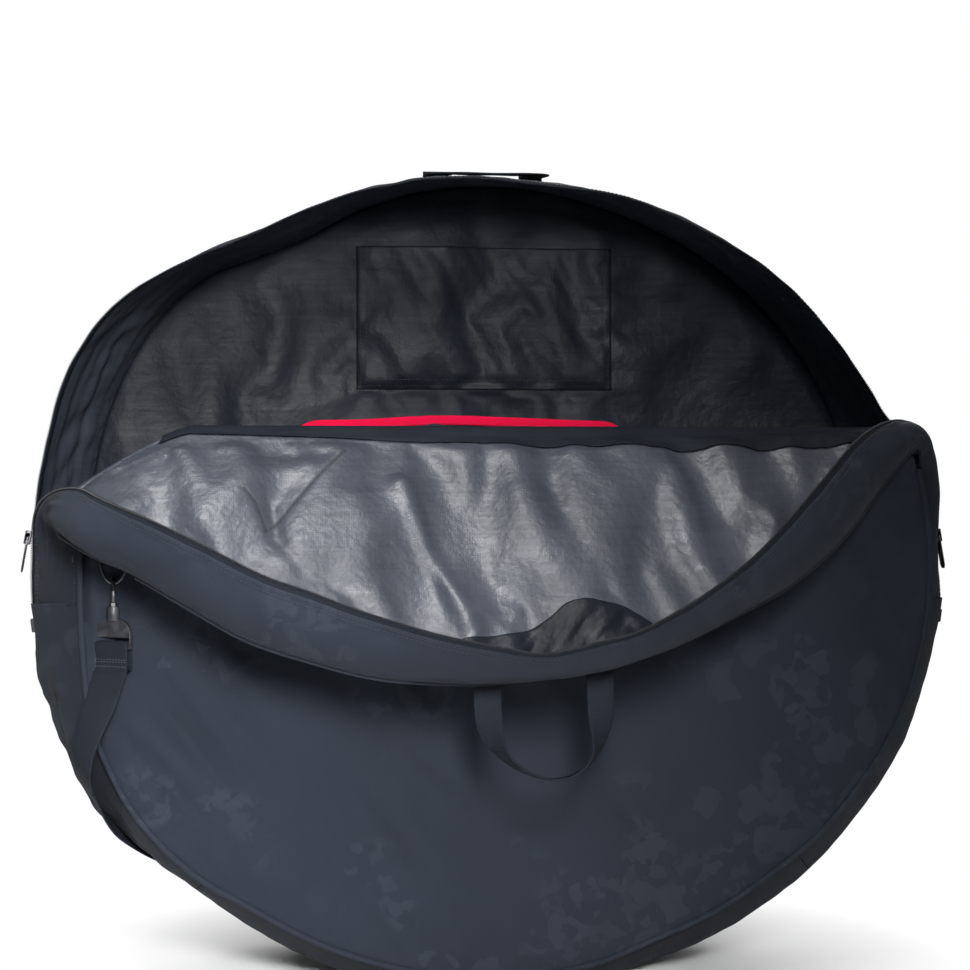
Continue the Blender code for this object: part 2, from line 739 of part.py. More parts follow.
def make_strap_end(side, frame):
    """Tab, ring, snap hook with its gate, and the yoke, in a left-hand frame.

    The frame's origin is the middle of the ring's straight bar.
    """
    bar = ring_wire / 2
    # Tab: a hairpin of webbing round the bar, sewn flat above it
    inner = bar + gap
    outer = inner + web
    lean = tab_stand_off - outer - gap
    hairpin_section = [(lean - outer, tab_height), (-outer, 0)]
    for angle in angles_between(math.pi, 2 * math.pi, 7)[1:-1]:
        hairpin_section.append((outer * math.cos(angle),
                                outer * math.sin(angle)))
    hairpin_section += [(outer, 0), (lean + outer, tab_height),
                        (lean + inner, tab_height), (inner, 0)]
    for angle in angles_between(2 * math.pi, math.pi, 7)[1:-1]:
        hairpin_section.append((inner * math.cos(angle),
                                inner * math.sin(angle)))
    hairpin_section += [(-inner, 0), (lean - inner, tab_height)]
    width = ring_width - 2 * ring_wire
    sections = []
    for x in (-width / 2, width / 2):
        sections.append([Vector((x, y, z)) for y, z in hairpin_section])
    name = "ring_tab_" + side
    add(name, loft(name, sections), "webbing", frame)

    # Ring: straight bar above, half round below
    half = ring_width / 2
    points = [Vector((-half, 0, 0)), Vector((half, 0, 0))]
    for angle in angles_between(0, -math.pi, 11)[1:-1]:
        points.append(Vector((half * math.cos(angle), 0,
                              ring_drop * math.sin(angle))))
    name = "strap_ring_" + side
    add(name, tube_curve(name, points, ring_wire, cyclic=True), "wire",
        frame)

    # Hook: over the ring's lowest point, open behind a sprung gate
    frame = add_empty("hook_frame_" + side, Vector((0, -hook_shift, 0)),
                      frame)
    wire = hook_wire / 2
    eye = hook_eye / 2 + wire
    crown = hook_crown
    base = crown - hook_length
    tip = crown - hook_length / 2
    points = [Vector((0, 0, base - stud_length / 2)), Vector((0, 0, base))]
    for out_share, up_share in hook_back_shares:
        points.append(Vector((0, eye * out_share, base + eye * up_share)))
    for angle in angles_between(0, math.pi, 9):
        points.append(Vector((0, eye * math.cos(angle),
                              crown - eye + eye * math.sin(angle))))
    points.append(Vector((0, -eye, tip)))
    name = "snap_hook_" + side
    hook = add(name, tube_curve(name, points, hook_wire, sides=2), "wire",
               frame)
    hook = as_mesh(hook)
    paint(hook, "wire")
    shank = bpy.data.meshes.new("stud_" + side)
    shell = bmesh.new()
    bmesh.ops.create_cone(shell, cap_ends=True, segments=16,
                          radius1=stud / 2, radius2=stud / 2,
                          depth=stud_length)
    shell.to_mesh(shank)
    shell.free()
    stud_low = base - stud_length
    stud_obj = add("stud_" + side, shank, "wire", frame,
                   -Vector((0, 0, base - stud_length / 2)))
    join(hook, stud_obj)
    # Heel that the gate is pinned to
    heel_size = (hook_wire, eye + wire, stud / 2)
    heel = block("heel_" + side, heel_size,
                 Vector((0, -eye / 2, base - stud / 4)), "wire", frame)
    join(hook, heel)

    # Gate: a flat tongue between the heel and the hook's tip
    gate_low = base + 2 * gap
    gate_high = tip - gap
    pin = Vector((0, -eye, gate_low + gate_plate / 2))
    gate_frame = add_empty("gate_frame_" + side, pin, frame)
    gate_size = (gate_width, gate_plate, gate_high - gate_low)
    block("hook_gate_" + side, gate_size,
          Vector((0, -eye, (gate_low + gate_high) / 2)), "wire",
          gate_frame, pin)

    # Yoke: barrel above, shoulders, and a slot for the strap
    barrel_top = base - stud / 2 - gap
    barrel_low = stud_low - gap - hook_wire
    shoulder = barrel_low + hook_wire / 2
    half = yoke_width / 2
    low = shoulder - yoke_height
    neck = barrel / 2
    right_edge = [(half * out_share, low + yoke_height * up_share)
                  for out_share, up_share in yoke_shoulder_shares]
    left_edge = [(-x, z) for x, z in reversed(right_edge)]
    outline = ([(-half, low), (half, low)] + right_edge
               + [(neck, shoulder), (-neck, shoulder)] + left_edge)
    name = "strap_yoke_" + side
    plate = upright_plate(name, outline, yoke_plate, 0, "hardware", frame)
    plate = as_mesh(plate)
    paint(plate, "hardware")
    drum = bpy.data.meshes.new("barrel_" + side)
    shell = bmesh.new()
    height = barrel_top - barrel_low
    bmesh.ops.create_cone(shell, cap_ends=True, segments=20,
                          radius1=barrel / 2, radius2=barrel / 2,
                          depth=height)
    shell.to_mesh(drum)
    shell.free()
    drum_obj = add("barrel_" + side, drum, "hardware", frame,
                   -Vector((0, 0, barrel_low + height / 2)))
    join(plate, drum_obj)
    bore = bpy.data.meshes.new("bore_" + side)
    shell = bmesh.new()
    depth = barrel_top - stud_low + gap
    bmesh.ops.create_cone(shell, cap_ends=True, segments=16,
                          radius1=stud / 2 + gap, radius2=stud / 2 + gap,
                          depth=depth * 2)
    shell.to_mesh(bore)
    shell.free()
    bore_obj = add("bore_" + side, bore, "hardware", frame,
                   -Vector((0, 0, stud_low - gap + depth)))
    cut(plate, bore_obj)
    slot_low = low + yoke_bar
    slot = block("slot_" + side,
                 (strap_width + 4 * gap, yoke_plate * 3, yoke_slot),
                 Vector((0, 0, slot_low + yoke_slot / 2)), "hardware", frame)
    cut(plate, slot)
    return slot_low


def yoke_bar_height():
    """Height of the slot's lower edge in a strap end's own frame."""
    shoulder = hook_crown - hook_length - stud_length - gap - hook_wire / 2
    return shoulder - yoke_height + yoke_bar


def strap_loop_start():
    """The hairpin round a yoke's bar: places and directions, in its frame."""
    bar_top = yoke_bar_height()
    half = yoke_plate / 2
    reach = gap + web / 2
    bend = reach * math.sqrt(0.5)
    stations = [(half + reach, bar_top - hairpin, (0, 1)),
                (half + reach, bar_top, (0, 1)),
                (half + bend, bar_top + bend, (-1, 1)),
                (half, bar_top + reach, (-1, 0)),
                (-half, bar_top + reach, (-1, 0)),
                (-half - bend, bar_top + bend, (-1, -1)),
                (-half - reach, bar_top, (0, -1)),
                (-half - reach, bar_top - hairpin, (0, -1))]
    return stations


def make_strap():
    """Shoulder strap from the left hook, round under the bag, to the right."""
    width = Vector((1, 0, 0))
    sections = []

    def start_sections(anchor, sign):
        found = []
        for y, z, (dy, dz) in strap_loop_start():
            middle = anchor + Vector((0, sign * (y - hook_shift), z))
            normal = Vector((0, sign * dz, -dy))
            found.append((middle, width, normal))
        return found

    left = start_sections(left_anchor, 1)
    right = start_sections(right_anchor, -1)

    # Table along the bag: angle round it, share across the gusset's depth,
    # share of the seam's radius; the shares past the ends lie on the panels
    route_shares = [
        (203.0, -0.10, 1.085), (208.0, 0.02, 1.135), (213.5, 0.22, 0.0),
        (217.5, 0.42, 0.0), (221.5, 0.62, 0.0), (225.0, 0.80, 0.0),
        (229.0, 1.00, 1.055), (234.5, 1.11, 1.000), (243.0, 1.13, 0.920),
        (253.0, 1.13, 0.845), (264.0, 1.13, 0.815), (276.0, 1.13, 0.810),
        (288.0, 1.13, 0.825), (299.0, 1.13, 0.860), (309.5, 1.13, 0.908),
        (319.0, 1.12, 0.965), (325.5, 1.12, 1.012),
    ]
    middle_points = []
    for angle_deg, depth_share, radius_share in route_shares:
        angle = math.radians(angle_deg)
        if radius_share == 0.0:
            place = gusset_point(angle, depth_share * gusset_width,
                                 strap_lift)
        else:
            reach = panel_radius * radius_share
            place = Vector((reach * math.cos(angle),
                            gusset_front + depth_share * gusset_width,
                            centre_height + reach * math.sin(angle)))
        middle_points.append((angle, depth_share, place))

    first = left[-1][0]
    last = right[-1][0]
    line = [first] + [place for _, _, place in middle_points]
    for run in (strap_run, strap_run - hairpin):
        line.append(last - Vector((0, 0, run - hairpin)))
    line.append(last)
    out_normals = []
    for angle, depth_share, place in middle_points:
        radial = Vector((math.cos(angle), 0, math.sin(angle)))
        lean = turned(depth_share, front_turn_shares)
        lean_back = turned(depth_share, back_turn_shares)
        normal = radial
        normal = normal * lean + Vector((0, -1, 0)) * (1 - lean)
        normal = normal * (1 - lean_back) + Vector((0, 1, 0)) * lean_back
        out_normals.append(normal.normalized())
    normals = [Vector((0, -1, 0))] + out_normals + [Vector((0, 1, 0))] * 3

    for middle, across, normal in left:
        sections.append(webbing_section(middle, across, normal,
                                        strap_width, web))
    smooth_line = spline_through(line, 3)
    smooth_normals = spline_through(normals, 3)
    body = []
    for i in range(1, len(smooth_line) - 1):
        along = (smooth_line[i + 1] - smooth_line[i - 1]).normalized()
        normal = smooth_normals[i]
        normal = (normal - along * normal.dot(along)).normalized()
        across = normal.cross(along)
        body.append((smooth_line[i], across, normal))
    for middle, across, normal in body:
        sections.append(webbing_section(middle, across, normal,
                                        strap_width, web))
    for middle, across, normal in reversed(right):
        sections.append(webbing_section(middle, across, normal,
                                        strap_width, web))
    add("shoulder_strap", loft("shoulder_strap", sections), "webbing")


def spline_through(points, steps):
    """Points on a smooth curve through the given ones."""
    found = []
    for i in range(len(points) - 1):
        p0 = points[max(i - 1, 0)]
        p1 = points[i]
        p2 = points[i + 1]
        p3 = points[min(i + 2, len(points) - 1)]
        for k in range(steps):
            t = k / steps
            found.append(0.5 * ((2 * p1) + (p2 - p0) * t
                                + (2 * p0 - 5 * p1 + 4 * p2 - p3) * t * t
                                + (3 * p1 - p0 - 3 * p2 + p3) * t ** 3))
    found.append(points[-1])
    return found


def make_adjuster():
    """Slide buckle that rides on the strap below the right yoke."""
    outer = yoke_plate / 2 + gap + web / 2 + hook_shift
    drop = yoke_bar_height() - adjuster_drop
    place = right_anchor + Vector((0, outer, drop))
    hole = (strap_width + 4 * gap, web + 4 * gap, adjuster_length * 2)
    size = (strap_width + 2 * adjuster_margin,
            web + 4 * gap + 2 * adjuster_wall, adjuster_length)
    frame = block("strap_adjuster", size, place, "hardware")
    cut(frame, block("adjuster_hole", hole, place, "hardware"))
    for sign in (-1, 1):
        lift = Vector((0, adjuster_wall * 2,
                       sign * adjuster_length / 4))
        window_size = (strap_width, adjuster_wall * 3,
                       adjuster_length * adjuster_window_share)
        window = block("adjuster_window_%d" % (sign + 1), window_size,
                       place + lift, "hardware")
        cut(frame, window)


clear_scene()
bag = new_collection("bike_wheel_bag")
cutters = new_collection("cutters")

fold_axis = Vector((0, front - fold_proud, fold_height))
flap_frame = add_empty("flap_frame", fold_axis,
                       turn=math.radians(open_angle))
divider_axis = Vector((0, 0, divider_foot))

hook_shift = (hook_eye - ring_wire) / 2 - 2 * gap
tab_stand_off = ring_wire / 2 + hook_wire + 3 * gap
ring_room = (hook_eye - ring_wire) / 2 - gap
hook_crown = ((hook_eye + hook_wire) / 2 - ring_drop
              - math.sqrt(ring_room ** 2 - hook_shift ** 2))
left_anchor = Vector((ring_inset - panel_radius, front - tab_stand_off,
                      ring_height))
right_anchor = Vector((-left_anchor.x, -left_anchor.y, left_anchor.z))

make_back()
make_front()
make_gusset()
make_flap()
slider_angle = math.asin((slider_height - zip_centre.z) / zip_radius)
make_slider("right", slider_angle)
make_slider("left", math.pi - slider_angle)
make_stop("right", zip_right_end)
make_stop("left", zip_left_end)
make_handles()
make_divider()
left_frame = add_empty("left_frame", left_anchor)
make_strap_end("left", left_frame)
right_frame = add_empty("right_frame", right_anchor)
right_frame.rotation_euler = (0, 0, math.pi)
make_strap_end("right", right_frame)
make_strap()
make_adjuster()
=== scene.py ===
"""Looks of a round padded bag with its flap hanging open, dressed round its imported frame.

Metres, +Z up, +Y to the back of the bag, as in the frame.
"""

import json
import math

import bmesh
import bpy
import numpy as np
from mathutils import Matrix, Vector, noise


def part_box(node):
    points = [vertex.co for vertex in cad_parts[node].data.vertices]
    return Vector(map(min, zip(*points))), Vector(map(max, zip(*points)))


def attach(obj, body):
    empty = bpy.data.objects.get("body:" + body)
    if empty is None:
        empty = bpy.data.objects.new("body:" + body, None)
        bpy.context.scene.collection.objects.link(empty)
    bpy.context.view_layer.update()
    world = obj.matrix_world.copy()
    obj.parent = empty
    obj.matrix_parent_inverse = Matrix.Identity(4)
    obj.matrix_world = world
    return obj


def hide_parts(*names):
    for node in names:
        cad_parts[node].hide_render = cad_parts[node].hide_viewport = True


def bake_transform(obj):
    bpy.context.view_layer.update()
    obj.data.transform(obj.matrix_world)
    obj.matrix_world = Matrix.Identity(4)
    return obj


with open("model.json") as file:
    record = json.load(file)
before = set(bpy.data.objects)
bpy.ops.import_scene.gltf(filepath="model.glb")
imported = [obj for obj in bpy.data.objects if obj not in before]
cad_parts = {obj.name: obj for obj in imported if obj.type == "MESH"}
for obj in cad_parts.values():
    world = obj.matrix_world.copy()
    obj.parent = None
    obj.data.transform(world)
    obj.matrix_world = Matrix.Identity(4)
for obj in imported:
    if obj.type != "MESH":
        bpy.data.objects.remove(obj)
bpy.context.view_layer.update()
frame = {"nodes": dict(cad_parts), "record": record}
nodes = frame["nodes"]

# Places that the frame gives
CENTRE_Z = 0.406
FRONT_SEAM_Y = -0.1225
BACK_SEAM_Y = 0.1225
ZIP_Y = -0.0647
FOLD = Vector((0, -0.1256, 0.524))
FOLD_ROLL = 0.0065
CLOTH = 0.0015
PADDING = 0.0095
# How far from the bag's middle plane the panels' outer cloth and lining lie at their seams
OUTER_DEPTH = 0.1238
LINING_DEPTH = 0.1150
# Ends of the zip, in degrees round the bag's middle, and where the sliders rest
ZIP_LEFT_END = 185.3
ZIP_RIGHT_END = -5.4
SLIDER_Z = 0.424
# The open flap: the way its lining faces, and the way down along it
FLAP_INNER = np.array([0, -0.829, 0.559])
FLAP_DOWN = np.array([0, -0.559, -0.829])
FLAP_FALL = 0.829

# Pitch and size of what repeats along a line: along it, across it, and out
REPEATS = {
    "zip_teeth": (0.0017, (0.0011, 0.0036, 0.0016)),
    "shell_seam": (0.0042, (0.0032, 0.0007, 0.0006)),
    "panel_seam": (0.0042, (0.0030, 0.0007, 0.0007)),
    "pocket_seam": (0.0040, (0.0030, 0.0008, 0.0006)),
    "binding_seam": (0.0036, (0.0026, 0.0006, 0.0005)),
    "strap_seam": (0.0032, (0.0024, 0.0007, 0.0006)),
    "handle_seam": (0.0030, (0.0023, 0.0007, 0.0006)),
}

# Photograph: its width and the camera's focal length, in pixels
PHOTO_WIDTH = 970
CAMERA_FOCUS = 2420

# Simulation of slack cloth
SETTLE_FRAMES = 30
SLACK_CLOTH = {
    "quality": 5, "mass": 0.1, "tension_stiffness": 20, "compression_stiffness": 20,
    "shear_stiffness": 7, "tension_damping": 10, "compression_damping": 10,
    "bending_damping": 1, "air_damping": 4, "vertex_group_mass": "held",
}


# Curves and grids

def hermite(knots, values, places):
    """Smooth values at places, through the values at the knots."""
    knots = np.asarray(knots, float)
    values = np.asarray(values, float).reshape(len(knots), -1)
    slopes = np.empty_like(values)
    slopes[1:-1] = (values[2:] - values[:-2]) / (knots[2:] - knots[:-2])[:, None]
    slopes[0] = (values[1] - values[0]) / (knots[1] - knots[0])
    slopes[-1] = (values[-1] - values[-2]) / (knots[-1] - knots[-2])
    places = np.asarray(places, float)
    at = np.clip(np.searchsorted(knots, places, side="right") - 1, 0, len(knots) - 2)
    step = (knots[at + 1] - knots[at])[:, None]
    t = (places[:, None] - knots[at][:, None]) / step
    return ((2 * t ** 3 - 3 * t ** 2 + 1) * values[at]
            + (t ** 3 - 2 * t ** 2 + t) * step * slopes[at]
            + (3 * t ** 2 - 2 * t ** 3) * values[at + 1]
            + (t ** 3 - t ** 2) * step * slopes[at + 1])


def through(rows, count):
    """Evenly spread rows of points on smooth curves through the given rows."""
    rows = np.asarray(rows, float)
    steps = np.linalg.norm(np.diff(rows, axis=0), axis=-1)
    chords = steps.reshape(len(steps), -1).mean(1)
    knots = np.concatenate([[0], np.cumsum(chords)])
    found = hermite(knots, rows, np.linspace(0, knots[-1], count))
    return found.reshape((count,) + rows.shape[1:])


def ring_table(table, angles):
    """A radius at each angle, from a closed table of degrees and radii."""
    degrees = [row[0] for row in table]
    radii = [row[1] for row in table]
    knots = [d - 360 for d in degrees[-2:]] + degrees + [d + 360 for d in degrees[:2]]
    values = radii[-2:] + radii + radii[:2]
    return hermite(knots, values, np.degrees(angles) % 360)[:, 0]


def smooth_share(values, start, end):
    """0 up to start, 1 from end on, and a smooth ramp between."""
    share = np.clip((np.asarray(values, float) - start) / (end - start), 0, 1)
    return share * share * (3 - 2 * share)


def rise_and_fall(values, rise_start, rise_end, fall_start, fall_end):
    """1 between two smooth ramps, and 0 beyond them."""
    return smooth_share(values, rise_start, rise_end) * (1 - smooth_share(values, fall_start,
                                                                          fall_end))


def unit(vectors):
    """Vectors scaled to a length of 1."""
    return vectors / np.linalg.norm(vectors, axis=-1, keepdims=True)


def distances_along(line):
    """How far along a line each of its points lies."""
    steps = np.linalg.norm(np.diff(line, axis=0), axis=1)
    return np.concatenate([[0], np.cumsum(steps)])


def rumple(points, scale, seed=0.0, octaves=2):
    """Smooth noise of about -1 to 1 at each point, with lumps of that scale."""
    flat = np.asarray(points, float).reshape(-1, points.shape[-1])
    offset = Vector((seed * 7.31, seed * 3.17, seed * 5.93))
    found = np.empty(len(flat))
    for i, p in enumerate(flat):
        place = Vector((p[0] / scale[0], p[1] / scale[1], 0)) + offset
        found[i] = noise.fractal(place, 0.6, 2.1, octaves)
    return found.reshape(points.shape[:-1])


def normals_of(grid):
    """Unit normals of a grid of points."""
    along = np.gradient(grid, axis=1)
    down = np.gradient(grid, axis=0)
    normal = np.cross(along, down)
    length = np.linalg.norm(normal, axis=-1, keepdims=True)
    return normal / np.maximum(length, 1e-12)


def quads(rows, columns, wrap, start, flip):
    """Corner numbers of the faces of a grid whose points begin at start."""
    i, j = np.meshgrid(np.arange(rows - 1), np.arange(columns if wrap else columns - 1),
                       indexing="ij")
    after = (j + 1) % columns
    corners = [i * columns + j, i * columns + after,
               (i + 1) * columns + after, (i + 1) * columns + j]
    if flip:
        corners = corners[::-1]
    return (np.stack(corners, -1).reshape(-1, 4) + start)


def place_mesh(name, points, faces, finishes, face_finish, spread):
    """An object from points and faces, smooth, with its cloth spread as UV map."""
    mesh = bpy.data.meshes.new(name)
    mesh.from_pydata(np.asarray(points, float).tolist(), [], list(faces))
    for finish in finishes:
        mesh.materials.append(finish)
    mesh.polygons.foreach_set("material_index", np.asarray(face_finish, np.int32))
    mesh.polygons.foreach_set("use_smooth", np.ones(len(mesh.polygons), bool))
    if spread is not None:
        corner = np.empty(len(mesh.loops), np.int32)
        mesh.loops.foreach_get("vertex_index", corner)
        layer = mesh.uv_layers.new(name="spread")
        layer.data.foreach_set("uv", np.asarray(spread, float)[corner].ravel())
    shell = bmesh.new()
    shell.from_mesh(mesh)
    bmesh.ops.recalc_face_normals(shell, faces=shell.faces)
    shell.to_mesh(mesh)
    shell.free()
    mesh.update()
    obj = bpy.data.objects.new(name, mesh)
    bpy.context.scene.collection.objects.link(obj)
    return obj


def wall(name, outside, inside, finishes, spread, wrap=False):
    """A closed piece between two grids of points of the same size.

    finishes are the outside's, the inside's and the edge's."""
    rows, columns = outside.shape[:2]
    count = rows * columns
    points = np.concatenate([outside.reshape(-1, 3), inside.reshape(-1, 3)])
    parts = [quads(rows, columns, wrap, 0, False), quads(rows, columns, wrap, count, True)]
    borders = [np.arange(columns), np.arange(columns) + (rows - 1) * columns]
    if wrap:
        borders = [np.append(line, line[0]) for line in borders]
    else:
        borders.append(np.arange(rows) * columns)
        borders.append(np.arange(rows) * columns + columns - 1)
    edge = []
    for line in borders:
        edge.append(np.stack([line[:-1], line[1:], line[1:] + count, line[:-1] + count], -1))
    edge = np.concatenate(edge)
    faces = np.concatenate(parts + [edge]).tolist()
    kinds = [0] * len(parts[0]) + [1] * len(parts[1]) + [2] * len(edge)
    flat = spread.reshape(-1, 2)
    return place_mesh(name, points, faces, finishes, kinds, np.concatenate([flat, flat]))


def spread_of(grid):
    """Where each point of a grid lies on its cloth, in metres, across and along."""
    across = np.linalg.norm(np.diff(grid, axis=1), axis=-1)
    down = np.linalg.norm(np.diff(grid, axis=0), axis=-1)
    middle = grid.shape[1] // 2
    u = np.concatenate([np.zeros((len(grid), 1)), np.cumsum(across, 1)], 1)
    u = u - u[:, middle:middle + 1]
    v = np.concatenate([np.zeros((1, grid.shape[1])), np.cumsum(down, 0)], 0)
    return np.stack([u, v], -1)


def sections(name, rings, finish, closed=False, spread=None):
    """A closed piece lofted through rings of points, capped unless it closes."""
    rings = np.asarray(rings, float)
    count, sides = rings.shape[:2]
    if closed:
        faces = (quads(count + 1, sides, True, 0, False) % (count * sides)).tolist()
    else:
        faces = quads(count, sides, True, 0, False).tolist()
        faces.append(list(range(sides))[::-1])
        faces.append([(count - 1) * sides + k for k in range(sides)])
    if spread is None:
        around = distances_along(rings[0])
        along = distances_along(rings.mean(1))
        spread = np.stack(np.meshgrid(around, along), -1).reshape(-1, 2)
    return place_mesh(name, rings.reshape(-1, 3), faces, [finish], [0] * len(faces), spread)


def transported(points, closed=False):
    """Tangent and two steady cross directions at each point of a line."""
    points = np.asarray(points, float)
    if closed:
        tangents = np.roll(points, -1, 0) - np.roll(points, 1, 0)
    else:
        tangents = np.gradient(points, axis=0)
    tangents = unit(tangents)
    start = np.array([0, 1, 0.0])
    if abs(tangents[0] @ start) > 0.9:
        start = np.array([1, 0, 0.0])
    first = []
    for tangent in tangents:
        start = unit(start - tangent * (start @ tangent))
        first.append(start)
    first = np.array(first)
    return tangents, first, np.cross(tangents, first)


def cord(name, points, radius, finish, closed=False, sides=10):
    """A round cord along a line."""
    points = np.asarray(points, float)
    _, first, second = transported(points, closed)
    turns = np.linspace(0, 2 * math.pi, sides, endpoint=False)
    rings = (points[:, None] + radius * (np.cos(turns)[None, :, None] * first[:, None]
                                         + np.sin(turns)[None, :, None] * second[:, None]))
    return sections(name, rings, finish, closed)


def strip_profile(width, thickness):
    """Round-edged section of webbing or tape: across and out, in metres."""
    half = width / 2
    side = thickness / 2
    shares = ((1, 0), (0.985, 0.75), (0.94, 1), (0.6, 1), (0.2, 1), (-0.2, 1), (-0.6, 1),
              (-0.94, 1), (-0.985, 0.75), (-1, 0))
    top = [(half * a, side * n) for a, n in shares]
    return top + [(a, -n) for a, n in reversed(top[1:-1])]


def webbing_strip(name, middles, outs, width, thickness, finish):
    """Webbing along a line, flat to the given out directions."""
    middles = np.asarray(middles, float)
    tangents = unit(np.gradient(middles, axis=0))
    outs = np.asarray(outs, float)
    outs = unit(outs - tangents * (outs * tangents).sum(1, keepdims=True))
    across = np.cross(outs, tangents)
    profile = np.array(strip_profile(width, thickness))
    rings = (middles[:, None] + profile[None, :, 0:1] * across[:, None]
             + profile[None, :, 1:2] * outs[:, None])
    along = distances_along(middles)
    spread = np.stack(np.broadcast_arrays(profile[None, :, 0], along[:, None]), -1)
    return sections(name, rings, finish, spread=spread.reshape(-1, 2))


# Cloth that was cut larger than the place it is sewn into

def settled(xs, zs, held, slack, seed, slant=0.42, bending=25.0, start=0.006):
    """Heights of slack cloth over a regular grid, sewn down where held is true.

    slack is the spare share across and up. The folds lean by slant, across for each
    metre up."""
    places = np.stack(np.meshgrid(xs, zs), -1)
    rows, columns = held.shape
    flat = np.zeros((rows * columns, 3))
    flat[:, :2] = places.reshape(-1, 2)
    for k in np.flatnonzero(~held.ravel()):
        x, z = flat[k, :2]
        place = Vector((12 * (x + slant * z), 4 * (z - slant * x), seed))
        flat[k, 2] = start * noise.fractal(place, 0.7, 2.0, 2)
    cut = flat * (1 + slack[0], 1 + slack[1], 1)
    mesh = bpy.data.meshes.new("slack")
    mesh.from_pydata(cut.tolist(), [], quads(rows, columns, False, 0, False).tolist())
    obj = bpy.data.objects.new("slack", mesh)
    bpy.context.scene.collection.objects.link(obj)
    group = obj.vertex_groups.new(name="held")
    group.add(np.flatnonzero(held.ravel()).tolist(), 1.0, "REPLACE")
    obj.shape_key_add(name="cut")
    key = obj.shape_key_add(name="sewn")
    key.data.foreach_set("co", flat.ravel())
    key.value = 0
    key.keyframe_insert("value", frame=1)
    key.value = 1
    key.keyframe_insert("value", frame=SETTLE_FRAMES // 2)
    modifier = obj.modifiers.new("slack", "CLOTH")
    for setting, value in SLACK_CLOTH.items():
        setattr(modifier.settings, setting, value)
    modifier.settings.bending_stiffness = bending
    modifier.settings.effector_weights.gravity = 0
    modifier.collision_settings.use_collision = False
    modifier.point_cache.frame_start = 1
    modifier.point_cache.frame_end = SETTLE_FRAMES
    for frame_number in range(1, SETTLE_FRAMES + 1):
        bpy.context.scene.frame_set(frame_number)
    graph = bpy.context.evaluated_depsgraph_get()
    found = obj.evaluated_get(graph).to_mesh()
    points = np.empty(rows * columns * 3)
    found.vertices.foreach_get("co", points)
    bpy.data.objects.remove(obj)
    bpy.context.scene.frame_set(1)
    return points.reshape(rows, columns, 3)[..., 2]


def sampled(field, xs, zs, x, z):
    """Smooth values, at any places, of a field over a regular grid."""
    column = np.clip((x - xs[0]) / (xs[1] - xs[0]), 0, len(xs) - 1.001)
    row = np.clip((z - zs[0]) / (zs[1] - zs[0]), 0, len(zs) - 1.001)
    left = column.astype(int)
    low = row.astype(int)

    def weights(t):
        return (-0.5 * t + t ** 2 - 0.5 * t ** 3, 1 - 2.5 * t ** 2 + 1.5 * t ** 3,
                0.5 * t + 2 * t ** 2 - 1.5 * t ** 3, -0.5 * t ** 2 + 0.5 * t ** 3)

    across = weights(column - left)
    up = weights(row - low)
    total = 0.0
    for i in range(4):
        at = np.clip(low + i - 1, 0, len(zs) - 1)
        for j in range(4):
            beside = np.clip(left + j - 1, 0, len(xs) - 1)
            total = total + up[i] * across[j] * field[at, beside]
    return total


def capped(height, most):
    """Heights that never pass a limit."""
    return most * np.tanh(height / most)


def line_distance(places, line):
    """How far each place lies from a line of corners."""
    best = np.full(places.shape[:-1], 9.0)
    for start, end in zip(line[:-1], line[1:]):
        start = np.asarray(start, float)
        run = np.asarray(end, float) - start
        share = ((places - start) @ run) / (run @ run)
        nearest = start + np.clip(share, 0, 1)[..., None] * run
        best = np.minimum(best, np.linalg.norm(places - nearest, axis=-1))
    return best


# Repeats that follow a line: stitches and zip teeth

def repeat_tree():
    """Small rounded pieces laid along a line at a pitch, square to it."""
    tree = bpy.data.node_groups.new("pieces_along_a_line", "GeometryNodeTree")
    for name, side, kind in (("Geometry", "INPUT", "Geometry"), ("Pitch", "INPUT", "Float"),
                             ("Size", "INPUT", "Vector"), ("Finish", "INPUT", "Material"),
                             ("Geometry", "OUTPUT", "Geometry")):
        tree.interface.new_socket(name, in_out=side, socket_type="NodeSocket" + kind)

    def add(kind, inputs=(), **settings):
        made = tree.nodes.new(kind)
        for key, value in settings.items():
            setattr(made, key, value)
        for key, value in dict(inputs).items():
            made.inputs[key].default_value = value
        return made

    start = add("NodeGroupInput")
    end = add("NodeGroupOutput")
    line = add("GeometryNodeMeshToCurve")
    spaced = add("GeometryNodeResampleCurve", mode="LENGTH")
    piece = add("GeometryNodeMeshUVSphere", {"Segments": 6, "Rings": 4, "Radius": 0.5})
    tangent = add("GeometryNodeInputTangent")
    out = add("GeometryNodeInputNamedAttribute", {"Name": "out"}, data_type="FLOAT_VECTOR")
    turn = add("FunctionNodeAxesToRotation", primary_axis="X", secondary_axis="Z")
    spread = add("GeometryNodeInstanceOnPoints")
    real = add("GeometryNodeRealizeInstances")
    paint = add("GeometryNodeSetMaterial")
    for source, output, target, socket in (
            (start, "Geometry", line, "Mesh"), (line, "Curve", spaced, "Curve"),
            (start, "Pitch", spaced, "Length"), (spaced, "Curve", spread, "Points"),
            (piece, "Mesh", spread, "Instance"), (tangent, "Tangent", turn, "Primary Axis"),
            (out, "Attribute", turn, "Secondary Axis"), (turn, "Rotation", spread, "Rotation"),
            (start, "Size", spread, "Scale"), (spread, "Instances", real, "Geometry"),
            (real, "Geometry", paint, "Geometry"), (start, "Finish", paint, "Material"),
            (paint, "Geometry", end, "Geometry")):
        tree.links.new(source.outputs[output], target.inputs[socket])
    return tree


